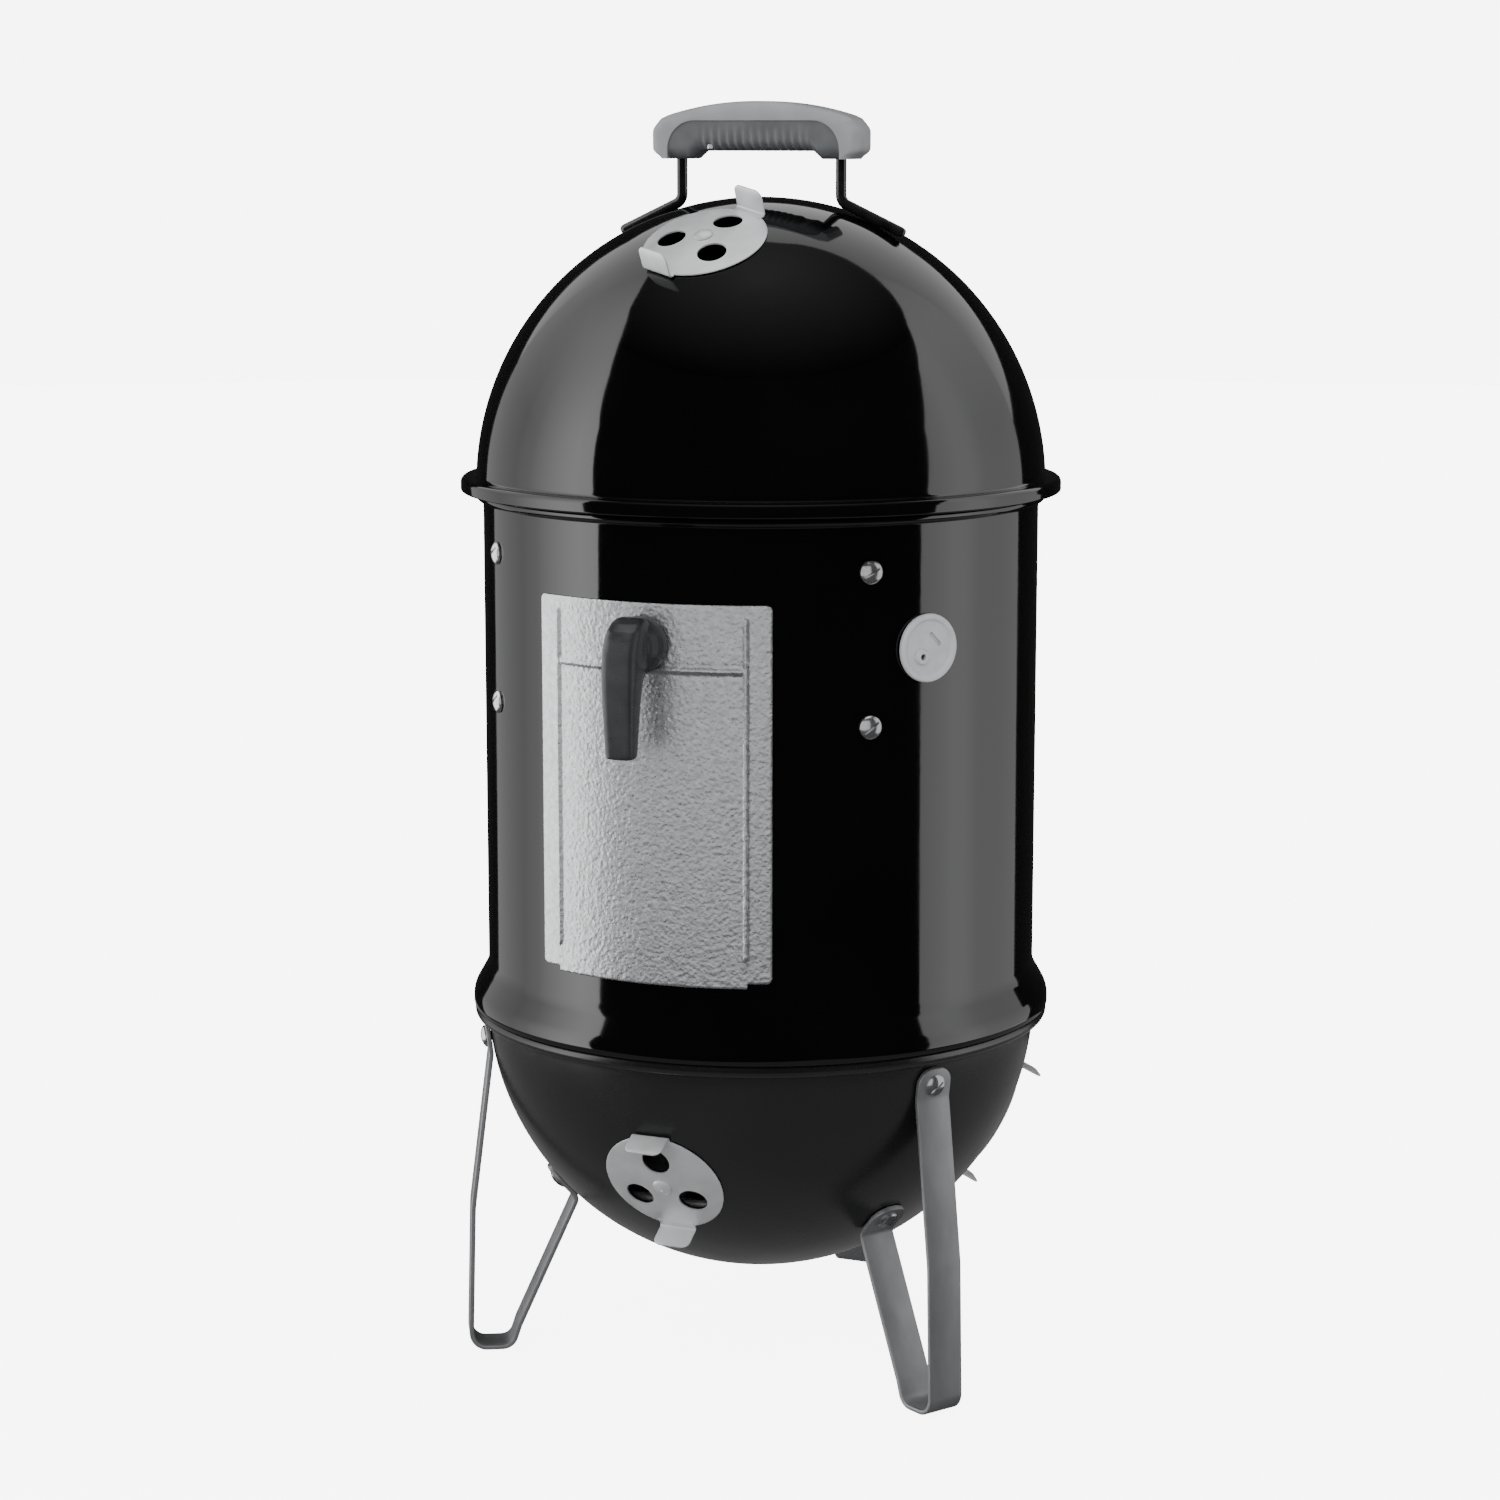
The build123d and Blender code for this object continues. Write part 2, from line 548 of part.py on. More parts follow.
# ---- Lid ----
with BuildPart() as lid:
    with BuildSketch(Plane.XZ):
        with Locations((0, LID_CENTRE_Z)):
            Circle(LID_R)
            Circle(LID_R - WALL, mode=Mode.SUBTRACT)
        with Locations((0, FLANGE_TOP_Z - WALL)):
            Rectangle(3 * LID_R, 3 * LID_R, align=(Align.CENTER, Align.MAX), mode=Mode.SUBTRACT)
            Rectangle(2 * LID_R, 2 * LID_R, align=(Align.MAX, Align.MIN), mode=Mode.SUBTRACT)
        with BuildLine():
            FilletPolyline(
                (LID_R - WALL, FLANGE_TOP_Z),
                (FLANGE_R, FLANGE_TOP_Z),
                (FLANGE_R, FLANGE_BOTTOM_Z),
                radius=3,
            )
            offset(amount=WALL, side=Side.RIGHT)
        make_face()
        with Locations((FLANGE_R - HEM_R, FLANGE_BOTTOM_Z)):
            Circle(HEM_R)
    revolve(axis=UPRIGHT)
    with BuildSketch(LID_DAMPER_PLANE):
        Circle(RIVET_R + RUN)
        with PolarLocations(VENT_PITCH_R, VENT_COUNT, start_angle=90):
            Circle(VENT_R)
    extrude(amount=8, both=True, mode=Mode.SUBTRACT)
finish(lid.part, "lid")

# The handle's bracket is one bent rod whose feet lie along the dome.
FOOT_X = 74.0
foot_z = LID_CENTRE_Z + sqrt(LID_R**2 - FOOT_X**2)
foot_tilt = asin((foot_z - LID_CENTRE_Z) / LID_R)
foot_middle = along((FOOT_X, foot_z), (cos(foot_tilt), sin(foot_tilt)), ROD_R + 0.1)
foot_way = (sin(foot_tilt), -cos(foot_tilt))
foot_end = along(foot_middle, foot_way, 22)
foot_bend = along(foot_middle, foot_way, (POST_X - foot_middle[0]) / foot_way[0])


def bent_rod(radius):
    with BuildPart() as rod:
        with BuildLine(Plane.XZ):
            path = FilletPolyline(
                foot_end,
                foot_bend,
                (POST_X, HANDLE_ROD_Z),
                (-POST_X, HANDLE_ROD_Z),
                (-foot_bend[0], foot_bend[1]),
                (-foot_end[0], foot_end[1]),
                radius=7,
            )
        with BuildSketch(Plane(origin=path @ 0, z_dir=path % 0)):
            Circle(radius)
        sweep()
    return rod.part


finish(bent_rod(ROD_R), "handle_bracket")

# The handle is an arched upper shell, screwed to a grip from below, with the rod between them.
PART_X, PART_Z = 57.5, 782.0  # where the two halves meet
GRIP_END_X, GRIP_INNER_X = 43.5, 38.0
SCREW_X, SCREW_Y, SCREW_R, SCREW_HEAD_R = 30.0, 8.0, 1.75, 3.0
SCREW_PLANES = [
    Plane(origin=(way * SCREW_X, way * SCREW_Y, GRIP_BOTTOM_Z), z_dir=(0, 0, -1)) for way in (1, -1)
]
SCREW_SINK = 4.0

with BuildPart() as shell:
    with BuildSketch(Plane.XZ):
        with BuildLine():
            ends = Polyline(
                (PART_X, HANDLE_BOTTOM_Z),
                (HANDLE_HALF - 7, HANDLE_BOTTOM_Z),
                (HANDLE_HALF, HANDLE_BOTTOM_Z + 5),
                (HANDLE_HALF, HANDLE_TOP_Z - 17),
                (HANDLE_HALF - 5.5, HANDLE_TOP_Z - 10.5),
            )
            mirror(ends, about=Plane.YZ)
            ThreePointArc(ends @ 1, (0, HANDLE_TOP_Z), (-(ends @ 1).X, (ends @ 1).Y))
            FilletPolyline(
                (PART_X, HANDLE_BOTTOM_Z),
                (PART_X, PART_Z),
                (-PART_X, PART_Z),
                (-PART_X, HANDLE_BOTTOM_Z),
                radius=18,
            )
        make_face()
    extrude(amount=HANDLE_DEPTH / 2, both=True)
    crown = shell.faces().sort_by(Axis.Z)[-1]
    fillet(crown.edges().filter_by(Axis.Y, reverse=True), radius=8)
    with BuildSketch(*[plane.offset(-SCREW_SINK) for plane in SCREW_PLANES]):
        Circle(SCREW_R + RUN)
    extrude(amount=-20, mode=Mode.SUBTRACT)
    add(bent_rod(ROD_R + RUN), mode=Mode.SUBTRACT)
finish(shell.part, "handle_shell")

RIDGES, RIDGE_PITCH, RIDGE_R = 11, 5.4, 1.3
with BuildPart() as grip:
    with BuildSketch(Plane.XZ):
        with BuildLine():
            FilletPolyline(
                (PART_X, HANDLE_BOTTOM_Z),
                (PART_X, PART_Z),
                (-PART_X, PART_Z),
                (-PART_X, HANDLE_BOTTOM_Z),
                radius=18,
            )
            Polyline(
                (PART_X, HANDLE_BOTTOM_Z),
                (GRIP_END_X, HANDLE_BOTTOM_Z),
                (GRIP_INNER_X, GRIP_BOTTOM_Z),
                (-GRIP_INNER_X, GRIP_BOTTOM_Z),
                (-GRIP_END_X, HANDLE_BOTTOM_Z),
                (-PART_X, HANDLE_BOTTOM_Z),
            )
        make_face()
        with Locations((0, GRIP_BOTTOM_Z - 0.3)):
            with GridLocations(RIDGE_PITCH, 1, RIDGES, 1):
                Circle(RIDGE_R, mode=Mode.SUBTRACT)
    extrude(amount=HANDLE_DEPTH / 2 - 1, both=True)
    with BuildSketch(*SCREW_PLANES):
        Circle(SCREW_HEAD_R + RUN)
    extrude(amount=-SCREW_SINK, mode=Mode.SUBTRACT)
    with BuildSketch(*SCREW_PLANES):
        Circle(SCREW_R + RUN)
    extrude(amount=-25, mode=Mode.SUBTRACT)
    add(bent_rod(ROD_R + RUN), mode=Mode.SUBTRACT)
finish(grip.part, "handle_grip")

with BuildPart() as screws:
    with BuildSketch(*[plane.offset(-SCREW_SINK + 2.5) for plane in SCREW_PLANES]):
        Circle(SCREW_HEAD_R)
    extrude(amount=-2.5)
    with BuildSketch(*[plane.offset(-SCREW_SINK) for plane in SCREW_PLANES]):
        Circle(SCREW_R)
    extrude(amount=-19)
finish(screws.part, "handle_screws")
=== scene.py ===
from math import asin, atan2, ceil, cos, degrees, pi, radians, sin, sqrt, tan

import bmesh
import bpy
from mathutils import Matrix, Vector, noise


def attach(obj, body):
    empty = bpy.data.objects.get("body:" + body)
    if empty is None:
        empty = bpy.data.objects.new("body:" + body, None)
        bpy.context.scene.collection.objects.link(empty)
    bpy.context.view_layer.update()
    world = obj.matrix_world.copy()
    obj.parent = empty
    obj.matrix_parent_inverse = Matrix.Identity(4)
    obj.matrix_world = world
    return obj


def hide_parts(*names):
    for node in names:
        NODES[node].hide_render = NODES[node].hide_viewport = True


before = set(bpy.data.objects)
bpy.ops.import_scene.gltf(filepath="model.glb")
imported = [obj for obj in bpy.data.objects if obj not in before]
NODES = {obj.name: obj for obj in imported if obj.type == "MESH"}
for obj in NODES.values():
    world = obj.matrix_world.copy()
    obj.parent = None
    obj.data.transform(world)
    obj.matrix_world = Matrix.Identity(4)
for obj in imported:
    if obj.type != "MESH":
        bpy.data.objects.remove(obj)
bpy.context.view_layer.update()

# Lengths are in millimetres until a mesh is made. An azimuth is measured from the front (-Y) towards +X.
MM = 0.001
BOWL_R, BOWL_CENTRE_Z = 175.2, 231.0
LID_R, LID_CENTRE_Z = 178.4, 557.2


# ---- Geometry helpers ----
def shade(obj, sharp=35):
    obj.data.shade_smooth()
    obj.data.set_sharp_from_angle(angle=radians(sharp))
    return obj


def new_object(name, verts, faces, sharp=35):
    mesh = bpy.data.meshes.new(name)
    mesh.from_pydata([Vector(v) * MM for v in verts], [], faces)
    bm = bmesh.new()
    bm.from_mesh(mesh)
    bmesh.ops.recalc_face_normals(bm, faces=bm.faces)
    bm.to_mesh(mesh)
    bm.free()
    obj = bpy.data.objects.new(name, mesh)
    bpy.context.scene.collection.objects.link(obj)
    return shade(obj, sharp)


def joined(name, objects, matrices=(Matrix.Identity(4),), sharp=35):
    """One object holding every given object's mesh, repeated at each matrix."""
    bm = bmesh.new()
    for matrix in matrices:
        for obj in objects:
            mesh = obj.data.copy()
            mesh.transform(matrix)
            bm.from_mesh(mesh)
            bpy.data.meshes.remove(mesh)
    for obj in objects:
        bpy.data.objects.remove(obj)
    mesh = bpy.data.meshes.new(name)
    bm.to_mesh(mesh)
    bm.free()
    obj = bpy.data.objects.new(name, mesh)
    bpy.context.scene.collection.objects.link(obj)
    return shade(obj, sharp)


def applied(obj, sharp=35):
    """The object with its modifiers made part of its mesh."""
    bpy.context.view_layer.update()
    graph = bpy.context.evaluated_depsgraph_get()
    mesh = bpy.data.meshes.new_from_object(obj.evaluated_get(graph))
    obj.modifiers.clear()
    obj.data = mesh
    return shade(obj, sharp)


def cut(obj, cutters, sharp=35):
    """Takes the cutters out of the object."""
    for cutter in cutters:
        modifier = obj.modifiers.new("cut", "BOOLEAN")
        modifier.operation = "DIFFERENCE"
        modifier.solver = "EXACT"
        modifier.object = cutter
    applied(obj, sharp)
    for cutter in cutters:
        bpy.data.objects.remove(cutter)
    return obj


def fillet_path(points, radii, closed=False):
    """A 2-D line with its corners rounded."""
    points = [Vector(p) for p in points]
    count = len(points)
    corners = list(range(count)) if closed else list(range(1, count - 1))
    radius = dict(zip(corners, radii))
    out = []
    for i, p in enumerate(points):
        if radius.get(i, 0) <= 0:
            out.append(p)
            continue
        u = (points[i - 1] - p).normalized()
        v = (points[(i + 1) % count] - p).normalized()
        half = u.angle(v) / 2
        centre = p + (u + v).normalized() * (radius[i] / sin(half))
        first = p + u * (radius[i] / tan(half)) - centre
        last = p + v * (radius[i] / tan(half)) - centre
        sweep = atan2(first.cross(last), first.dot(last))
        steps = max(2, ceil(abs(sweep) / radians(9)))
        for k in range(steps + 1):
            a = sweep * k / steps
            out.append(
                centre + Vector((first.x * cos(a) - first.y * sin(a), first.x * sin(a) + first.y * cos(a)))
            )
    return out


def lathe(name, profile, segments=192, sharp=35):
    """A turned piece about Z. The profile is a loop of (r, z), closed over the axis if it ends there."""
    on_axis = profile[0][0] < 1e-6 and profile[-1][0] < 1e-6
    verts, rings = [], []
    for r, z in profile:
        if r < 1e-6:
            rings.append([len(verts)] * segments)
            verts.append((0, 0, z))
        else:
            rings.append(list(range(len(verts), len(verts) + segments)))
            for i in range(segments):
                a = 2 * pi * i / segments
                verts.append((r * sin(a), -r * cos(a), z))
    faces = []
    pairs = list(zip(rings, rings[1:])) + ([] if on_axis else [(rings[-1], rings[0])])
    for low, high in pairs:
        for i in range(segments):
            j = (i + 1) % segments
            quad = [low[i], low[j], high[j], high[i]]
            quad = [v for k, v in enumerate(quad) if v != quad[k - 1]]
            if len(quad) > 2:
                faces.append(quad)
    return new_object(name, verts, faces, sharp)


def tube(name, path, radius, sides=14, closed=False, blunt=()):
    """Round wire along a 3-D line. blunt is a list of radii, from each end inwards, that rounds the ends."""
    path = [Vector(p) for p in path]
    count = len(path)
    radii = [radius] * count
    for k, r in enumerate(blunt):
        radii[k] = radii[-1 - k] = r
    verts, faces = [], []
    side = None
    for i, p in enumerate(path):
        ahead = path[(i + 1) % count] if closed or i < count - 1 else p
        behind = path[i - 1] if closed or i > 0 else p
        way = (ahead - behind).normalized()
        if side is None:
            side = way.orthogonal().normalized()
        side = (side - way * side.dot(way)).normalized()
        other = way.cross(side)
        for k in range(sides):
            a = 2 * pi * k / sides
            verts.append(p + (side * cos(a) + other * sin(a)) * radii[i])
    for i in range(count if closed else count - 1):
        a, b = i * sides, (i + 1) % count * sides
        for k in range(sides):
            j = (k + 1) % sides
            faces.append((a + k, a + j, b + j, b + k))
    if not closed:
        faces.append(range(sides))
        faces.append(range((count - 1) * sides, count * sides))
    return new_object(name, verts, faces)


def loft(name, rings, sharp=35, capped=True):
    """A skin over rings of points that all have the same count."""
    count = len(rings[0])
    verts = [p for ring in rings for p in ring]
    faces = []
    for i in range(len(rings) - 1):
        for k in range(count):
            j = (k + 1) % count
            faces.append((i * count + k, i * count + j, (i + 1) * count + j, (i + 1) * count + k))
    if capped:
        faces.append(range(count))
        faces.append(range((len(rings) - 1) * count, len(rings) * count))
    return new_object(name, verts, faces, sharp)


def strip(name, path, thickness, half_width, corner, edge, ends, place):
    """Flat bar bent along a 2-D line, on the line's left. corner rounds its ends, edge its long edges."""
    path = [Vector(p) for p in path]
    lengths = [0.0]
    for a, b in zip(path, path[1:]):
        lengths.append(lengths[-1] + (b - a).length)
    total = lengths[-1]
    stations = set(round(s, 4) for s in lengths)
    for k in range(9):
        s = corner * (1 - cos(k / 8 * pi / 2))
        if ends[0]:
            stations.add(round(s, 4))
        if ends[1]:
            stations.add(round(total - s, 4))
    rings = []
    for s in sorted(stations):
        i = max(k for k in range(len(lengths) - 1) if lengths[k] <= s + 1e-6)
        t = (s - lengths[i]) / (lengths[i + 1] - lengths[i])
        p = path[i].lerp(path[i + 1], min(max(t, 0), 1))
        way = (path[i + 1] - path[i]).normalized()
        if t < 1e-4 and i > 0:
            way = (way + (path[i] - path[i - 1]).normalized()).normalized()
        left = Vector((-way.y, way.x))
        w = half_width
        for near, rounded in ((s, ends[0]), (total - s, ends[1])):
            if rounded and near < corner:
                w = min(w, half_width - corner + sqrt(max(0, corner**2 - (corner - near) ** 2)))
        w = max(w, half_width - corner + 0.4)
        ring = []
        for su, sv, start in ((1, 0, -90), (1, 1, 0), (-1, 1, 90), (-1, 0, 180)):
            for k in range(4):
                a = radians(start + 30 * k)
                u = su * (w - edge) + edge * cos(a)
                v = (thickness - edge if sv else edge) + edge * sin(a)
                q = p + left * v
                ring.append(place(u, q.x, q.y))
        rings.append(ring)
    return loft(name, rings, sharp=40)


def outward(azimuth, r, z, tilt=0.0, turn=0.0):
    """A matrix on a shell, z outwards and raised by tilt, x level and to the right, then turned about z."""
    a, t = radians(azimuth), radians(tilt)
    z_dir = Vector((sin(a) * cos(t), -cos(a) * cos(t), sin(t)))
    x_dir = Vector((cos(a), sin(a), 0))
    y_dir = z_dir.cross(x_dir)
    matrix = Matrix((x_dir, y_dir, z_dir)).transposed().to_4x4()
    matrix.translation = Vector((r * sin(a), -r * cos(a), z)) * MM
    return matrix @ Matrix.Rotation(radians(turn), 4, "Z")


def on_sphere(z, centre_z, radius):
    """Distance of a spherical shell from the axis at z, and how far its normal is raised."""
    rise = z - centre_z
    return sqrt(radius**2 - rise**2), degrees(asin(rise / radius))


def on_bowl(azimuth, z):
    r, tilt = on_sphere(z, BOWL_CENTRE_Z, BOWL_R)
    return outward(azimuth, r, z, tilt)


def pegs(matrices, radius, half_length, sides=40):
    """Cutters for round holes, one on each matrix."""
    corners = [(0, -half_length), (radius, -half_length), (radius, half_length), (0, half_length)]
    peg = lathe("peg", corners, sides)
    return joined("pegs", [peg], matrices)


# ---- Materials ----
def blank(name):
    material = bpy.data.materials.new(name)
    material.use_nodes = True
    return material, material.node_tree.nodes, material.node_tree.links


def textured(
    name, dark, light, colour_scale, rough, rough_scale, metallic, bumps, stretch=(1, 1, 1), **sockets
):
    """Colour and roughness vary with noise; bumps is a list of (kind, scale, strength, distance)."""
    material, nodes, links = blank(name)
    shader = nodes["Principled BSDF"]
    shader.inputs["Metallic"].default_value = metallic
    for socket, value in sockets.items():
        shader.inputs[socket.replace("_", " ")].default_value = value
    where = nodes.new("ShaderNodeTexCoord")
    mapping = nodes.new("ShaderNodeMapping")
    mapping.inputs["Scale"].default_value = stretch
    links.new(where.outputs["Object"], mapping.inputs["Vector"])

    tint = nodes.new("ShaderNodeTexNoise")
    tint.inputs["Scale"].default_value = colour_scale
    tint.inputs["Detail"].default_value = 5
    links.new(mapping.outputs["Vector"], tint.inputs["Vector"])
    ramp = nodes.new("ShaderNodeValToRGB")
    ramp.color_ramp.elements[0].position = 0.3
    ramp.color_ramp.elements[1].position = 0.7
    ramp.color_ramp.elements[0].color = (*dark, 1)
    ramp.color_ramp.elements[1].color = (*light, 1)
    links.new(tint.outputs["Fac"], ramp.inputs["Fac"])
    links.new(ramp.outputs["Color"], shader.inputs["Base Color"])

    smudge = nodes.new("ShaderNodeTexNoise")
    smudge.inputs["Scale"].default_value = rough_scale
    smudge.inputs["Detail"].default_value = 4
    links.new(mapping.outputs["Vector"], smudge.inputs["Vector"])
    spread = nodes.new("ShaderNodeMapRange")
    spread.inputs["From Min"].default_value = 0.3
    spread.inputs["From Max"].default_value = 0.7
    spread.inputs["To Min"].default_value = rough[0]
    spread.inputs["To Max"].default_value = rough[1]
    links.new(smudge.outputs["Fac"], spread.inputs["Value"])
    links.new(spread.outputs["Result"], shader.inputs["Roughness"])

    below = None
    for kind, scale, strength, distance in bumps:
        texture = nodes.new("ShaderNodeTexVoronoi" if kind == "cells" else "ShaderNodeTexNoise")
        texture.inputs["Scale"].default_value = scale
        if kind == "cells":
            texture.feature = "SMOOTH_F1"
        links.new(mapping.outputs["Vector"], texture.inputs["Vector"])
        bump = nodes.new("ShaderNodeBump")
        bump.inputs["Strength"].default_value = strength
        bump.inputs["Distance"].default_value = distance
        links.new(texture.outputs["Distance" if kind == "cells" else "Fac"], bump.inputs["Height"])
        if below:
            links.new(below.outputs["Normal"], bump.inputs["Normal"])
        below = bump
    if below:
        links.new(below.outputs["Normal"], shader.inputs["Normal"])
    return material


ENAMEL = textured(
    "enamel_gloss", (0.0008, 0.0008, 0.0009), (0.0016, 0.0016, 0.0018), 9, (0.045, 0.08), 14, 0,
    [("noise", 55, 0.06, 0.0004), ("noise", 900, 0.03, 0.00005)], IOR=1.5,
)
ENAMEL_SATIN = textured(
    "enamel_satin", (0.005, 0.005, 0.0055), (0.008, 0.008, 0.0088), 9, (0.22, 0.3), 20, 0,
    [("noise", 70, 0.08, 0.0004), ("noise", 1400, 0.1, 0.00006)], IOR=1.5,
)
ROD_BLACK = textured(
    "rod_black", (0.004, 0.004, 0.0045), (0.009, 0.009, 0.01), 120, (0.14, 0.24), 90, 0,
    [("noise", 500, 0.1, 0.0001)], IOR=1.5,
)
LEG_STEEL = textured(
    "zinc_steel", (0.27, 0.275, 0.285), (0.36, 0.365, 0.375), 45, (0.36, 0.48), 60, 0.8,
    [("noise", 380, 0.12, 0.0002), ("noise", 2600, 0.12, 0.00006)], stretch=(1, 1, 0.35),
)
BRACKET_STEEL = textured(
    "bright_steel", (0.38, 0.38, 0.39), (0.52, 0.52, 0.53), 60, (0.3, 0.45), 90, 0.85,
    [("noise", 600, 0.15, 0.0001)],
)
CHARCOAL_STEEL = textured(
    "charcoal_steel", (0.22, 0.22, 0.225), (0.38, 0.38, 0.385), 40, (0.4, 0.6), 70, 0.85,
    [("noise", 500, 0.2, 0.0002)],
)
GRATE_CHROME = textured(
    "plated_wire", (0.6, 0.6, 0.61), (0.75, 0.75, 0.76), 50, (0.14, 0.25), 90, 1.0,
    [("noise", 700, 0.08, 0.0001)],
)
BOLT_CHROME = textured(
    "bolt_chrome", (0.6, 0.6, 0.61), (0.78, 0.78, 0.8), 220, (0.14, 0.26), 300, 0.95,
    [("noise", 1800, 0.12, 0.00005)],
)
DAMPER_METAL = textured(
    "damper_aluminium", (0.58, 0.59, 0.6), (0.7, 0.71, 0.72), 60, (0.36, 0.46), 120, 0.65,
    [("noise", 1500, 0.12, 0.00006), ("noise", 120, 0.05, 0.0003)],
)
DOOR_METAL = textured(
    "hammered_aluminium", (0.56, 0.57, 0.585), (0.72, 0.73, 0.745), 260, (0.24, 0.36), 300, 0.92,
    [("cells", 430, 0.55, 0.0006), ("noise", 900, 0.5, 0.0004)],
)
HANDLE_GREY = textured(
    "nylon_grey", (0.165, 0.172, 0.18), (0.2, 0.208, 0.217), 60, (0.42, 0.52), 160, 0,
    [("noise", 2600, 0.25, 0.00008)],
)
GRIP_GREY = textured(
    "grip_grey", (0.055, 0.058, 0.062), (0.075, 0.079, 0.084), 80, (0.4, 0.5), 160, 0,
    [("noise", 2600, 0.25, 0.00008)],
)
LATCH_BLACK = textured(
    "latch_black", (0.016, 0.0165, 0.018), (0.022, 0.0225, 0.024), 90, (0.26, 0.34), 160, 0,
    [("noise", 2200, 0.12, 0.00006)],
)
GROMMET_GREY = textured(
    "silicone_grey", (0.33, 0.34, 0.35), (0.38, 0.39, 0.4), 120, (0.42, 0.52), 200, 0,
    [("noise", 1500, 0.12, 0.00008)],
)


# Some lights reach the enamelled pieces only, and some the others only.
ENAMELLED = bpy.data.collections.new("enamelled")
OTHERS = bpy.data.collections.new("others")


def dress(obj, material):
    obj.data.materials.clear()
    obj.data.materials.append(material)
    group = ENAMELLED if material in (ENAMEL, ENAMEL_SATIN, ROD_BLACK) else OTHERS
    group.objects.link(obj)
    return obj


def piece(obj, material, slot, body, *nodes):
    """The object takes its material, rides on its body and stands for these CAD nodes."""
    dress(obj, material)
    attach(obj, body)
    if nodes:
        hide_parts(*nodes)
    return obj


# ---- Bowl ----
def meridian(radius, centre_z, low, high, steps):
    """Points (r, z) on a sphere from one height to another."""
    a0, a1 = asin((low - centre_z) / radius), asin((high - centre_z) / radius)
    angles = [a0 + (a1 - a0) * k / steps for k in range(steps + 1)]
    return [(max(0.0, radius * cos(a)), centre_z + radius * sin(a)) for a in angles]


MOUTH_Z = 219.9
outer = meridian(BOWL_R, BOWL_CENTRE_Z, BOWL_CENTRE_Z - BOWL_R, MOUTH_Z, 64)
inner = meridian(BOWL_R - 1, BOWL_CENTRE_Z, BOWL_CENTRE_Z - BOWL_R + 1, 220.9, 64)
mouth_r = outer[-1][0]
outside = outer[:-2] + fillet_path(
    [outer[-2], outer[-1], (183, MOUTH_Z), (183, 228.5), (mouth_r, 228.5), (mouth_r, 246)],
    [1.2, 4.25, 4.25, 1.2],
)
inside = fillet_path(
    [(mouth_r - 1, 246), (mouth_r - 1, 227.5), (182, 227.5), (182, 220.9), inner[-1], inner[-2]],
    [0.5, 3.2, 3.2, 0.5],
) + inner[-3::-1]
bowl = lathe("bowl_shell", [tuple(p) for p in outside] + [tuple(p) for p in inside], 256)
BOWL_DAMPER_Z = BOWL_CENTRE_Z - sqrt(BOWL_R**2 - 150.9**2)
BOWL_DAMPERS = {"front": 0, "right": 120, "left": -120}
DAMPER_AT = {side: on_bowl(azimuth, BOWL_DAMPER_Z) for side, azimuth in BOWL_DAMPERS.items()}


def vents(matrix):
    return [
        matrix @ Matrix.Translation(Vector((20.5 * cos(radians(a)), 20.5 * sin(radians(a)), 0)) * MM)
        for a in (90, 210, 330)
    ]


cut(bowl, [pegs([m for at in DAMPER_AT.values() for m in vents(at)], 9, 8)])
piece(bowl, ENAMEL_SATIN, "enamel_black", "base", "bowl")

# ---- Barrel ----
outside = fillet_path(
    [
        (183.7, 228.9), (183.7, 236.5), (174, 253.5), (174, 548.8), (178.4, 548.8), (178.4, 555.2),
        (174, 555.2), (174, 557.1), (178.1, 557.1), (178.1, 562.3), (172.9, 562.3), (172.9, 554.3),
    ],
    [16, 16, 1.0, 3.19, 3.19, 0.6, 0.6, 2.5, 2.5, 2.5],
)
inside = fillet_path(
    [
        (172.9, 554.3), (177.4, 554.3), (177.4, 549.8), (173, 549.8),
        (173, 253.23), (182.7, 236.23), (182.7, 228.9),
    ],
    [2.1, 2.1, 0.6, 17, 15],
)
rim = fillet_path([(182.7, 228.9), (182.95, 228.4), (183.45, 228.4), (183.7, 228.9)], [0.2, 0.2])
barrel = lathe("barrel_shell", [tuple(p) for p in outside + inside[1:] + rim[1:-1]], 256)
opening = fillet_path([(-66.5, 284), (66.5, 284), (66.5, 496), (-66.5, 496)], [10] * 4, closed=True)
barrel = cut(barrel, [loft("opening", [[(p.x, y, p.y) for p in opening] for y in (-200, -120)])])
piece(barrel, ENAMEL, "enamel_black", "barrel", "barrel")

# ---- Lid ----
dome = meridian(LID_R, LID_CENTRE_Z, 563.6, LID_CENTRE_Z + LID_R, 72)[::-1]
under = meridian(LID_R - 1, LID_CENTRE_Z, 562.6, LID_CENTRE_Z + LID_R - 1, 72)
outside = dome[:-2] + fillet_path(
    [
        dome[-2], dome[-1], (188, 563.6), (188, 554.9), (185.3, 554.9), (185.3, 557.4), (187, 558.2),
        (187, 562.6), under[0], under[1],
    ],
    [2.2, 3.4, 1.25, 1.25, 0.5, 0.6, 2.2, 1.0],
)
lid = lathe("lid_shell", [tuple(p) for p in outside] + under[2:], 256)
LID_DAMPER_Z = LID_CENTRE_Z + sqrt(LID_R**2 - 87**2)
LID_TILT = on_sphere(LID_DAMPER_Z, LID_CENTRE_Z, LID_R)[1]
DAMPER_AT["lid"] = outward(0, 87, LID_DAMPER_Z, LID_TILT, -25)
cut(lid, [pegs(vents(DAMPER_AT["lid"]), 9, 8)])
piece(lid, ENAMEL, "enamel_black", "lid", "lid")


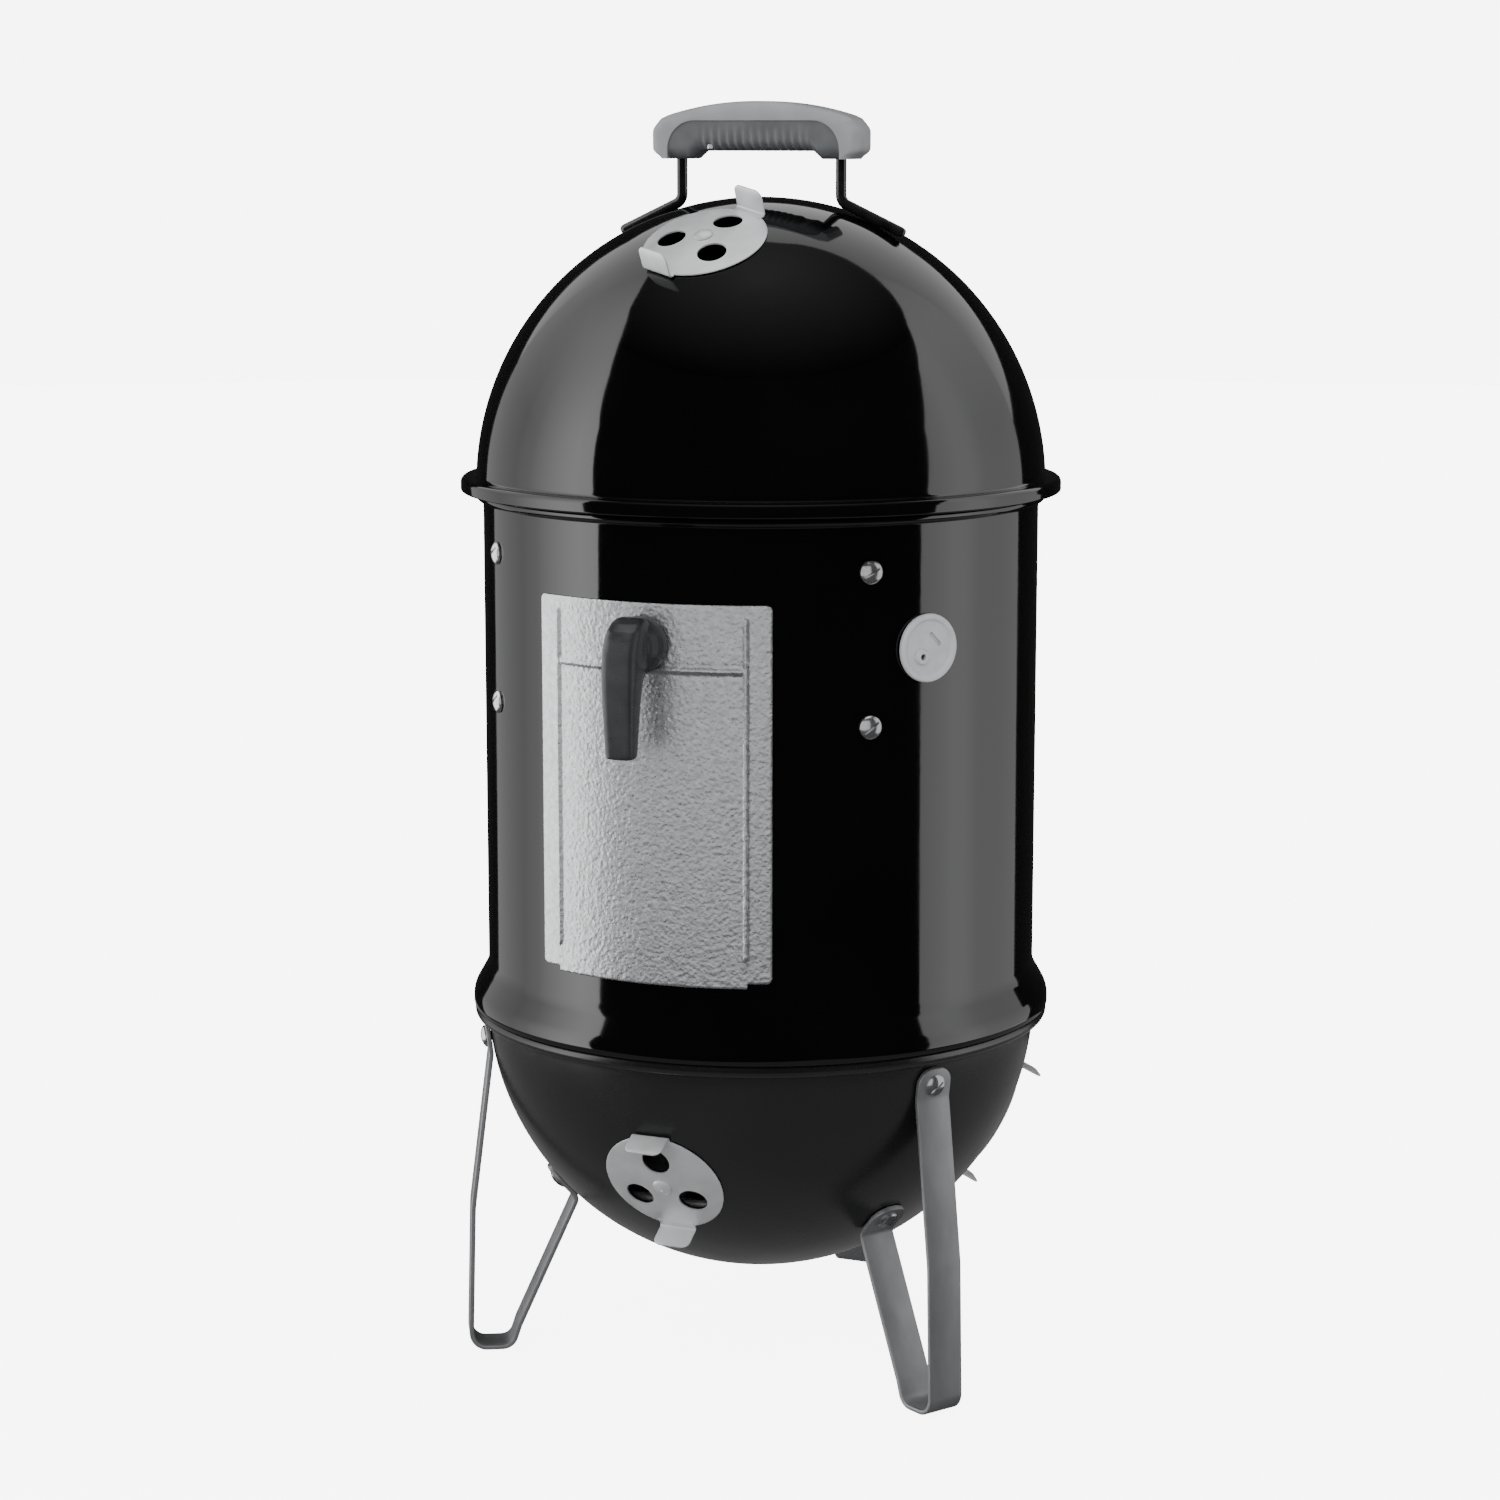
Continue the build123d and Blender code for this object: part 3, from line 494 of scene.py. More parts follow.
# ---- Dampers ----
def damper(name, matrix):
    """Domed disc with rolled-down rim, three vents and two folded tabs with rounded corners."""
    def sag(r, radius=178.5):
        return 0.6 - radius + sqrt(radius**2 - r**2)

    top, low = [], []
    for k in range(39):
        r = k
        low.append((r, sag(r)))
        top.append((r, sag(r) + 1.0))
    edge = [(38.25, sag(38) + 0.85), (38.35, sag(38) + 0.5), (38.25, sag(38) + 0.15)]
    disc = lathe("disc", top[::-1] and top + edge + low[::-1], 128, 40)
    cut(disc, [pegs(vents(Matrix.Identity(4)), 9, 8, 48)], 40)
    parts = [disc]
    fold_z = sag(40.5)
    for way in (1, -1):
        line = fillet_path([(33.5, sag(33.5) + 0.02), (40.5, fold_z - 0.02), (40.9, fold_z + 16.9)], [2.4])
        tab = strip(
            "tab", line, 1.0, 12, 5.0, 0.35, (False, True),
            lambda u, x, y, way=way: (u * way, x * way, y),
        )
        parts.append(tab)
    return joined(name, parts, [matrix], 40)


for side, matrix in DAMPER_AT.items():
    body = "lid_damper" if side == "lid" else f"bowl_damper_{side}"
    piece(damper(f"{body}_disc", matrix), DAMPER_METAL, "damper_aluminium", body, body)


def domed(name, head_r, head_z, head_h, shank_r, tail, rim_h=0.5, dimple=0.0):
    """A round-headed pin about Z, with a soft rim and an optional dimple."""
    line = []
    for k in range(9):
        x = head_r * k / 9
        line.append((x, head_z + rim_h + (head_h - rim_h) * (1 - (k / 9) ** 2) ** 0.75))
    if dimple:
        line[0] = (0, line[0][1] - dimple)
        line[1] = (line[1][0], line[1][1] - 0.8 * dimple)
    line += [(head_r, head_z + rim_h), (head_r, head_z), (shank_r, head_z)] + tail
    return lathe(name, line, 40)


tail = [(3, -1.15), (4.5, -1.15), (4.4, -2.2), (3.4, -2.75), (0, -2.75)]
rivet = domed("rivet", 6, 1.7, 2.4, 3, tail, 0.5, 0.7)
piece(joined("bowl_damper_rivet_heads", [rivet], [DAMPER_AT[s] for s in BOWL_DAMPERS]),
      DAMPER_METAL, "damper_aluminium", "base", "bowl_damper_rivets")
rivet = domed("rivet", 6, 1.7, 2.4, 3, tail, 0.5, 0.7)
piece(joined("lid_damper_rivet_head", [rivet], [DAMPER_AT["lid"]]),
      DAMPER_METAL, "damper_aluminium", "lid", "lid_damper_rivet")


# ---- Bolts ----
def slotted(name, length):
    """Truss-head bolt with a slot, a washer face and a blunt shank end."""
    bolt = domed(name, 7, 0.0, 3.6, 3, [(3, -length + 0.5), (2.5, -length), (0, -length)], 0.9)
    corners = (-9, -0.8), (9, -0.8), (9, 0.8), (-9, 0.8)
    slot = loft("slot", [[(x, y, z) for x, y in corners] for z in (2.0, 6)])
    return cut(bolt, [slot])


LEGS = {"right": 60, "left": -60, "rear": 180}
seats = [on_bowl(a, z) @ Matrix.Translation((0, 0, 3.1 * MM)) for a in LEGS.values() for z in (206, 112)]
turned = [m @ Matrix.Rotation(radians(35 + 47 * i), 4, "Z") for i, m in enumerate(seats)]
heads = joined("leg_bolt_heads", [slotted("bolt", 15)], turned)
piece(heads, BOLT_CHROME, "bolt_chrome", "base", "leg_bolts")
seats = [outward(a, 174, z) for a in (45, -45, 135, -135) for z in (521, 429)]
turned = [m @ Matrix.Rotation(radians(28 + 7 * i), 4, "Z") for i, m in enumerate(seats)]
piece(joined("bracket_bolt_heads", [slotted("bolt", 10)], turned), BOLT_CHROME, "bolt_chrome", "barrel",
      "bracket_bolts")


# ---- Legs ----
def strap_line(z, lower, upper, stand_off):
    r, tilt = on_sphere(z, BOWL_CENTRE_Z, BOWL_R)
    normal = Vector((cos(radians(tilt)), sin(radians(tilt))))
    tangent = Vector((-normal.y, normal.x))
    foot = Vector((r, z)) + normal * stand_off
    return foot - tangent * lower, foot + tangent * upper


upper_tab, lower_tab = strap_line(206, 9, 11, 0.1), strap_line(112, 14, 11, 3.1)
strap = fillet_path(
    [upper_tab[1], upper_tab[0], (185, 95), (187.5, 3), (163.5, 3), (159.2, 16), lower_tab[0], lower_tab[1]],
    [12, 60, 8.5, 7.5, 12, 4],
)
for side, azimuth in LEGS.items():
    a = radians(azimuth)
    leg = strip(
        f"leg_{side}_strap", strap, 3.0, 12.5, 10.0, 0.7, (True, True),
        lambda u, x, y, a=a: (x * sin(a) + u * cos(a), -x * cos(a) + u * sin(a), y),
    )
    piece(leg, LEG_STEEL, "leg_steel", "base", f"leg_{side}")

# ---- Lid handle ----
FOOT_X = 74
foot_z = LID_CENTRE_Z + sqrt(LID_R**2 - FOOT_X**2)
tilt = asin((foot_z - LID_CENTRE_Z) / LID_R)
middle = Vector((FOOT_X, foot_z)) + Vector((cos(tilt), sin(tilt))) * 3.45
way = Vector((sin(tilt), -cos(tilt)))
end, bend = middle + way * 22, middle + way * ((53.5 - middle.x) / way.x)
rod = fillet_path(
    [end, bend, (53.5, 772), (-53.5, 772), (-bend.x, bend.y), (-end.x, end.y)], [7, 7, 7, 7]
)
tips = [end - way * s for s in (0, 0.25, 0.9, 2.0, 3.4)]
rod = tips + rod[1:-1] + [Vector((-p.x, p.y)) for p in tips[::-1]]
rod = tube("handle_rod", [(p.x, 0, p.y) for p in rod], 3.35, 20, blunt=(1.5, 2.2, 2.85, 3.2))
piece(rod, ROD_BLACK, "rod_black", "lid", "handle_bracket")


def resampled(points, steps):
    """Evenly spaced points along a 2-D line."""
    points = [Vector(p) for p in points]
    lengths = [0.0]
    for p, q in zip(points, points[1:]):
        lengths.append(lengths[-1] + (q - p).length)
    out = []
    for k in range(steps + 1):
        s = lengths[-1] * k / steps
        i = max(n for n in range(len(points) - 1) if lengths[n] <= s + 1e-9)
        out.append(points[i].lerp(points[i + 1], (s - lengths[i]) / (lengths[i + 1] - lengths[i])))
    return out


def crown(x):
    return (x, 794 - 8.4 * (x / 59) ** 2.1)


# The shell's inside and outside lines, from an end to the middle, in three stretches of each.
INSIDE = [
    [(57.5, 758.7), (57.5, 764)],
    [(39.5 + 18 * cos(radians(a)), 764 + 18 * sin(radians(a))) for a in range(0, 91, 5)],
    [(39.5, 782), (0, 782)],
]
OUTSIDE = [
    fillet_path([(62.5, 758.7), (69.5, 763.7), (69.5, 768)], [4]),
    fillet_path([(69.5, 768), (69.5, 777), (64, 783.5), (59, 785.6)], [5, 5])
    + [crown(x) for x in range(58, 40, -1)],
    [crown(x) for x in range(41, -1, -1)],
]
stations = []
for inner, outer, steps in zip(INSIDE, OUTSIDE, (8, 28, 20)):
    pairs = list(zip(resampled(inner, steps), resampled(outer, steps)))
    stations += pairs[1 if stations else 0 :]
stations += [(Vector((-p.x, p.y)), Vector((-q.x, q.y))) for p, q in stations[-2::-1]]


def shell_ring(inner, outer):
    """The shell's section between its inside and outside lines, with the outer corners rounded."""
    thick = (outer - inner).length
    up = (outer - inner) / thick
    r = min(6.5, thick - 1.0)
    ring = []
    for y, v, radius, start, steps in (
        (-13.6, 0.4, 0.4, 180, 3),
        (13.6, 0.4, 0.4, 270, 3),
        (14 - r, thick - r, r, 0, 9),
        (r - 14, thick - r, r, 90, 9),
    ):
        for k in range(steps + 1):
            a = radians(start + 90 * k / steps)
            at = inner + up * (v + radius * sin(a))
            ring.append((at.x, y + radius * cos(a), at.y))
    return ring


shell = loft("handle_upper_shell", [shell_ring(p, q) for p, q in stations], 40)
piece(shell, HANDLE_GREY, "handle_grey", "lid", "handle_shell")


def grip_ring(x):
    """The grip's section at x: straight top corners, round lower ones, and ridges underneath."""
    half = abs(x)
    top = 782 if half < 39.5 else 764 + sqrt(max(0, 18**2 - (half - 39.5) ** 2))
    low = 763.5 if half < 38 else max(758.7, 763.5 - (half - 38) * 4.8 / 5.5)
    radius = min(8.5, 0.8 * (top - low))
    fade = min(1, max(0, (37 - half) / 4))
    ridge = 1.0 * fade * (0.5 - 0.5 * cos(2 * pi * x / 5.4))
    ring = []
    for k in range(5):
        z = top + (low + radius - top) * k / 5
        ring.append((-13, z, -1, 0, max(0, (k - 1) / 4) * 0.8))
    for k in range(9):
        a = radians(180 + 90 * k / 8)
        ring.append((-13 + radius + radius * cos(a), low + radius + radius * sin(a), cos(a), sin(a), 1))
    ring += [(y, low, 0, -1, 1) for y in (-2, 2)]
    ring += [(-y, z, -ny, nz, w) for y, z, ny, nz, w in ring[13::-1]]
    return [(x, y - ny * ridge * w, z - nz * ridge * w) for y, z, ny, nz, w in ring]


grip = loft("handle_lower_grip", [grip_ring(-57.5 + 115 * k / 230) for k in range(231)], 50)
wells = [Matrix.Translation(Vector((s * 30, s * 8, 763)) * MM) for s in (1, -1)]
cut(grip, [pegs(wells, 3.05, 4.5)], 50)
piece(grip, GRIP_GREY, "grip_grey", "lid", "handle_grip")

# ---- Fuel door ----
DOOR_R = 174.6


def relief(x, z):
    """Height of the door's face: pressed ribs, and the hammered pattern between them."""
    across = 175 * atan2(x, sqrt(DOOR_R**2 - x**2))
    rib_x = 175 * atan2(60.7, sqrt(DOOR_R**2 - 60.7**2))
    along_z = max(0, 292 - z, z - 494)
    upright = sqrt((abs(across) - rib_x) ** 2 + along_z**2)
    beside = max(0, abs(across) - rib_x + 3)
    level = sqrt((z - 464) ** 2 + beside**2)
    height = 0
    for d, size in ((upright, 1.0), (level, 0.85)):
        height = max(height, size * 1.5 * 2.718 ** (-((d / 1.5) ** 2)))
        height -= size * 0.3 * 2.718 ** (-(((d - 3.3) / 1.1) ** 2))
    flat = min(1, min(upright, level) / 3)
    spot = noise.voronoi(Vector((across, z, 0)) / 3.1)[0]
    hammer = 0.16 * min(1, spot[0] * 1.6) + 0.05 * noise.noise(Vector((across, z, 5)) / 1.7)
    return height + flat * hammer


columns = []
x = -75.0
while x < 75.01:
    columns.append(x)
    x += 0.75
columns = sorted([c for c in columns if abs(abs(c) - 61.5) > 0.3] + [-61.65, -61.4, 61.4, 61.65])
rows = 300
front, back = [], []
for x in columns:
    ease = 3 - sqrt(max(0, 9 - max(0, abs(x) - 72) ** 2))
    low = 273.6 if abs(x) < 61.5 else 276.6 + ease
    high = 503 - ease
    for k in range(rows + 1):
        z = low + (high - low) * k / rows
        a = atan2(x, sqrt(DOOR_R**2 - x**2))
        near = min(1.0, (75 - abs(x)) / 0.8, (z - low) / 0.8, (high - z) / 0.8)
        r = DOOR_R + 0.5 + 0.3 * sqrt(max(0, near)) + relief(x, z) * min(1, max(0, near))
        front.append((r * sin(a), -r * cos(a), z))
        back.append((DOOR_R * sin(a), -DOOR_R * cos(a), z))
step, total = rows + 1, len(front)
faces = []
for i in range(len(columns) - 1):
    for k in range(rows):
        p = i * step + k
        faces.append((p, p + step, p + step + 1, p + 1))
        faces.append((total + p, total + p + 1, total + p + step + 1, total + p + step))
loop = [k for k in range(step)]
loop += [i * step + rows for i in range(1, len(columns))]
loop += [(len(columns) - 1) * step + k for k in range(rows - 1, -1, -1)]
loop += [i * step for i in range(len(columns) - 2, 0, -1)]
for p, q in zip(loop, loop[1:] + loop[:1]):
    faces.append((p, q, total + q, total + p))
door = new_object("fuel_door_panel", front + back, faces, 50)
piece(door, DOOR_METAL, "door_aluminium", "fuel_door", "fuel_door")


# ---- Latch lever ----
def lever_ring(z, near, far, half):
    """A rounded-square section of the lever at height z, between two distances from the axis."""
    ring = []
    for k in range(48):
        a = 2 * pi * k / 48
        c, s = cos(a), sin(a)
        e = 2 / 3.4
        x = half * abs(c) ** e * (1 if c > 0 else -1)
        y = (near + far) / 2 + (far - near) / 2 * abs(s) ** e * (1 if s > 0 else -1)
        ring.append((x, -y, z))
    return ring


LEVER = [
    (415, 200.5, 212.0, 7.6), (415.7, 199.6, 212.8, 8.5), (417.5, 199.2, 213.1, 8.9), (430, 198, 214.3, 9.4),
    (450, 195.5, 215.6, 10.2), (460, 192.5, 216, 10.7), (468, 188, 216, 11), (478, 186, 215, 11),
    (485, 185.5, 212, 10.9), (490, 185.5, 208, 10.6), (494, 186, 202.5, 9.8), (496, 187, 198, 8.2),
    (496.7, 189, 194.5, 5),
]
grip = loft("lever_grip", [lever_ring(*row) for row in LEVER])
section = [(0, 0.2), (16.6, 0.2), (17.1, 1.2), (17.0, 6), (16.0, 11), (13.6, 16)]
section += [(9.5, 19.5), (5, 21), (0, 21.3)]
boss = lathe("boss", section, 64)
base_z = 177.6
boss = joined("boss", [boss], [outward(0, base_z, 479)])
lever = joined("latch_lever_moulding", [grip, boss])
remesh = lever.modifiers.new("remesh", "REMESH")
remesh.mode = "VOXEL"
remesh.voxel_size = 0.7 * MM
soften = lever.modifiers.new("soften", "SMOOTH")
soften.factor = 0.5
soften.iterations = 7
applied(lever, 60)
for vertex in lever.data.vertices:
    vertex.co.y = min(vertex.co.y, -177.45 * MM)
piece(lever, LATCH_BLACK, "latch_black", "latch", "latch_lever")

# ---- Probe grommet ----
profile = fillet_path(
    [
        (16.2, 1.6), (17.6, 3.0), (19.8, 3.0), (20.5, 1.9), (20.5, 0.02), (16, 0.02), (16, -2.4),
        (18.5, -2.4), (17.5, -4.8),
    ],
    [0.6, 0.6, 0.8, 0.3, 0.2, 0.2, 0.3],
)
face = lathe("face", [(0, 1.5), (15.4, 1.5)] + [tuple(p) for p in profile] + [(0, -4.8)], 96)
slot = fillet_path([(-5.5, -1.3), (5.5, -1.3), (5.5, 1.3), (-5.5, 1.3)], [1.25] * 4, closed=True)
turn = Matrix.Translation(Vector((5, 5, 0)) * MM) @ Matrix.Rotation(radians(-45), 4, "Z")
slot = joined("slot", [loft("slot", [[(p.x, p.y, z) for p in slot] for z in (0.2, 4)])], [turn])
at = Matrix.Translation(Vector((-5, -5, 0)) * MM)
cut(face, [slot, pegs([at], 2, 8, 32)])
boss = lathe("nipple", [(0, 0), (4.9, 0), (4.9, 1.7), (4.5, 2.2), (4.3, 3.2), (3.9, 3.6), (0, 3.6)], 48)
boss = cut(joined("nipple", [boss], [at]), [pegs([at], 2, 8, 32)])
grommet = joined("grommet_moulding", [face, boss])
grommet.data.transform(outward(57.7, 174, 474))
piece(shade(grommet), GROMMET_GREY, "grommet_grey", "barrel", "probe_grommet")


# ---- Grates ----
def circle(radius, z, steps=120):
    return [(radius * cos(2 * pi * k / steps), radius * sin(2 * pi * k / steps), z) for k in range(steps)]


def grate(name, radius, z, rim_r, bar_r, pitch):
    """Welded wire grate: round bars on two stays inside a rim wire."""
    centre = z + rim_r
    wires = [tube("rim", circle(radius - rim_r, centre), rim_r, 14, closed=True)]
    count = int((radius - 3 * rim_r) / pitch)
    for k in range(-count, count + 1):
        x = k * pitch
        y = sqrt((radius - rim_r) ** 2 - x**2)
        wires.append(tube("bar", [(x, -y, centre), (x, y, centre)], bar_r, 12))
    for y in (-radius / 2, radius / 2):
        x = sqrt((radius - rim_r) ** 2 - y**2)
        wires.append(tube("stay", [(-x, y, centre - bar_r), (x, y, centre - bar_r)], bar_r - 0.5, 12))
    return joined(name, wires)


piece(grate("upper_grate_wires", 166, 531.3, 3, 2, 15), GRATE_CHROME, "grate_chrome", "upper_grate",
      "upper_cooking_grate")
piece(grate("lower_grate_wires", 157, 421.3, 3, 2, 15), GRATE_CHROME, "grate_chrome", "lower_grate",
      "lower_cooking_grate")
piece(grate("charcoal_grate_wires", 134, 123, 3, 3, 20), CHARCOAL_STEEL, "charcoal_steel", "charcoal_grate",
      "charcoal_grate")

# ---- Water pan ----
outside = fillet_path([(0, 306.3), (108, 306.3), (139, 398.3), (147, 398.3)], [22, 3])
inside = fillet_path([(147, 399.3), (138.3, 399.3), (107.3, 307.3), (0, 307.3)], [4, 21])
pan = lathe("water_pan_shell", [tuple(p) for p in outside + inside], 160)
piece(pan, ENAMEL_SATIN, "enamel_black", "water_pan", "water_pan")

# ---- Charcoal ring ----
RING_LOW, RING_H, RING_R = 129.3, 104.0, 116.0
RING_ARC = RING_R * radians(1)
RING_HOLE_R, TILE_HALF = 7.0, 13
verts, faces, known = [], [], {}


def ring_point(angle, z, r):
    key = (round(angle % 360, 3), round(z, 3), r)
    if key not in known:
        known[key] = len(verts)
        a = radians(angle)
        verts.append((r * sin(a), -r * cos(a), z))
    return known[key]


def ring_tile(middle, z, r):
    """A piece of the band with one round hole, 15 degrees wide and a quarter of the band high."""
    border = [(-7.5 + 3.75 * k, -TILE_HALF) for k in range(4)]
    border += [(7.5, TILE_HALF * (k / 2 - 1)) for k in range(4)]
    border += [(-a, -h) for a, h in border]
    for (a, h), (b, g) in zip(border, border[1:] + border[:1]):
        hole = []
        for t in (atan2(h, a * RING_ARC), atan2(g, b * RING_ARC)):
            hole.append((middle + RING_HOLE_R * cos(t) / RING_ARC, z + RING_HOLE_R * sin(t)))
        hole0, hole1 = [ring_point(*at, r) for at in hole]
        edge0, edge1 = ring_point(middle + a, z + h, r), ring_point(middle + b, z + g, r)
        faces.append((edge0, edge1, hole1, hole0))
        if r < RING_R:
            walls.append(hole)


walls = []
for r in (RING_R, RING_R - 1):
    for row in range(3):
        for column in range(24):
            ring_tile(7.5 * (2 * column + row % 2), RING_LOW + RING_H * (row + 1) / 4, r)
    for low, high in ((RING_LOW, RING_LOW + TILE_HALF), (RING_LOW + RING_H - TILE_HALF, RING_LOW + RING_H)):
        for k in range(96):
            a, b = 3.75 * k, 3.75 * (k + 1)
            faces.append([ring_point(*at, r) for at in ((a, low), (b, low), (b, high), (a, high))])
for (a, z), (b, g) in walls:
    outer = ring_point(a, z, RING_R), ring_point(b, g, RING_R)
    faces.append((*outer, ring_point(b, g, RING_R - 1), ring_point(a, z, RING_R - 1)))
for z in (RING_LOW, RING_LOW + RING_H):
    for k in range(96):
        a, b = 3.75 * k, 3.75 * (k + 1)
        corners = ((a, z, RING_R), (b, z, RING_R), (b, z, RING_R - 1), (a, z, RING_R - 1))
        faces.append([ring_point(*at) for at in corners])
piece(new_object("charcoal_ring_band", verts, faces), CHARCOAL_STEEL, "charcoal_steel", "charcoal_ring",
      "charcoal_ring")

# ---- CAD nodes that stay ----
for node in ("leg_nuts", "bracket_nuts", "handle_screws", "latch_screw"):
    dress(NODES[node], BOLT_CHROME)
for node in NODES:
    if node.startswith("grate_bracket") or node in ("latch_bush", "latch_cam"):
        dress(NODES[node], BRACKET_STEEL)

# ---- Floor, light and camera ----
VIEW = radians(23.2)
BANK_R, GLOW_R, GLOW_Z, GLOW_STEPS = 1.25, 1.6, 0.55, 16
FLOOR_GLOW, BACKDROP_GLOW = 6.6, 7


def around(azimuth, distance, z):
    """A point at an azimuth from the camera's direction, in metres."""
    a = VIEW + radians(azimuth)
    return Vector((distance * sin(a), -distance * cos(a), z))


def aimed(obj, place, target):
    obj.location = place
    obj.rotation_euler = (Vector(target) - place).to_track_quat("-Z", "Y").to_euler()


def softbox(name, place, target, width, height, radiance, only=None, glossy=True, diffuse=True):
    """An area light of this brightness. only is the group of pieces that it reaches."""
    light = bpy.data.lights.new(name, "AREA")
    light.shape = "RECTANGLE"
    light.size, light.size_y = width, height
    light.energy = radiance * pi * width * height
    obj = bpy.data.objects.new(name, light)
    bpy.context.scene.collection.objects.link(obj)
    aimed(obj, place, target)
    obj.visible_camera = False
    obj.visible_glossy = glossy
    obj.visible_diffuse = diffuse
    if only:
        obj.light_linking.receiver_collection = only


def bank(name, low, high, bottom, top, radiance):
    """An upright softbox for the bare pieces, between two azimuths and two heights."""
    width = 2 * BANK_R * tan(radians(abs(high - low) / 2))
    place = around((low + high) / 2, BANK_R, (bottom + top) / 2)
    softbox(name, place, (0, 0, place.z), width, top - bottom, radiance, OTHERS)


def glow(name, columns, level, radius=GLOW_R):
    """A curved softbox on a sphere round the smoker. Each column is an azimuth and the two elevations
    that it spans, in degrees, and level gives the brightness in one direction."""
    verts, faces, levels = [], [], []
    for a, low, high in columns:
        for k in range(GLOW_STEPS + 1):
            e = low + (high - low) * k / GLOW_STEPS
            verts.append(around(a, radius * cos(radians(e)), GLOW_Z + radius * sin(radians(e))))
            levels.append(level(abs(a), e))
    for i in range(len(columns) - 1):
        for k in range(GLOW_STEPS):
            at = i * (GLOW_STEPS + 1) + k
            faces.append((at, at + 1, at + GLOW_STEPS + 2, at + GLOW_STEPS + 1))
    mesh = bpy.data.meshes.new(name)
    mesh.from_pydata(verts, [], faces)
    mesh.attributes.new("level", "FLOAT", "POINT").data.foreach_set("value", levels)
    material = bpy.data.materials.new(name)
    material.use_nodes = True
    nodes = material.node_tree.nodes
    nodes.clear()
    attribute = nodes.new("ShaderNodeAttribute")
    attribute.attribute_name = "level"
    emission = nodes.new("ShaderNodeEmission")
    output = nodes.new("ShaderNodeOutputMaterial")
    material.node_tree.links.new(attribute.outputs["Fac"], emission.inputs["Strength"])
    material.node_tree.links.new(emission.outputs["Emission"], output.inputs["Surface"])
    mesh.materials.append(material)
    obj = bpy.data.objects.new(name, mesh)
    bpy.context.scene.collection.objects.link(obj)
    obj.visible_camera = False
    obj.visible_diffuse = False
    obj.visible_shadow = False
    obj.light_linking.receiver_collection = ENAMELLED


def between(table, x):
    """The value at x in a table of (x, value) pairs, in straight steps."""
    for (x0, v0), (x1, v1) in zip(table, table[1:]):
        if x <= x1:
            return v0 + (v1 - v0) * max(0, (x - x0) / (x1 - x0))
    return table[-1][1]


def blended(low, high, azimuth, elevation):
    """The brightness goes from one table to the other between 14 and 40 degrees of elevation."""
    share = min(1, max(0, (elevation - 14) / 26))
    return (1 - share) * between(low, azimuth) + share * between(high, azimuth)


def left_level(azimuth, elevation):
    low = [(66, 4.6), (76, 4.6), (90, 2.9), (98, 1.8), (110, 1.1), (138, 0.75)]
    return blended(low, [(66, 3.6), (80, 3.3), (100, 2.4), (120, 1.4), (138, 1.2)], azimuth, elevation)


def right_level(azimuth, elevation):
    low = [(66, 2.25), (84, 2.55), (97, 1.6), (118, 0.95), (128, 0.8)]
    return blended(low, [(66, 2.2), (84, 2.5), (100, 2.0), (127, 1.25)], azimuth, elevation)


def left_top(azimuth):
    return between([(66, 1), (68, 20), (75, 36), (82, 44.5), (90, 50), (110, 55.5), (140, 58)], azimuth)


def right_top(azimuth):
    return between([(65, -3), (69, 20), (75, 30), (81, 37), (96, 47), (113, 53), (131, 60)], azimuth)


GLOW_LOW = -27
LEFT = [(-a, GLOW_LOW, left_top(a)) for a in (66, 68, 71, 75, 80, 86, 92, 100, 110, 124, 138)]
RIGHT = [(a, GLOW_LOW, right_top(a)) for a in (65, 67, 69, 72, 75, 81, 88, 96, 104, 113, 123)]
glow("left_glow", LEFT, left_level)
glow("right_glow", RIGHT, right_level)
glow("right_edge_glow", [(123, GLOW_LOW, -4), (127, GLOW_LOW, -5)], right_level)
BACK = [(123, 9, 57), (127, 12, 58.5), (135, 17, 61), (144, 22, 63.5), (156, 28, 66), (168, 29, 68.5),
        (180, 29, 68.5), (192, 30, 66), (202, 31, 63), (206, 27, 62), (214, 21, 60), (222, 15, 58)]
glow("back_glow", BACK, lambda azimuth, elevation: 1.2)
glow("zenith_glow", [(15 * k, 45, 90) for k in range(25)],
     lambda azimuth, elevation: 0.42 * (elevation - 45) / 45, radius=1.8)
softbox("table_glow", Vector((0, 0, -0.001)), (0, 0, 1), 1.5, 1.5, 0.27, ENAMELLED, diffuse=False)
softbox("ceiling_metal", Vector((0, 0, 2.1)), (0, 0, 0), 1.9, 1.9, 1.25, OTHERS)
bank("left_metal", -68, -132, -0.35, 1.85, 2.1)
bank("right_metal", 68, 132, -0.35, 1.85, 0.7)
bank("front_metal", -62, 30, 0.0, 1.5, 0.6)
softbox("front_fill", around(-15, 2.6, 2.0), (0, 0, 0.4), 2.4, 1.8, 3.3, glossy=False)

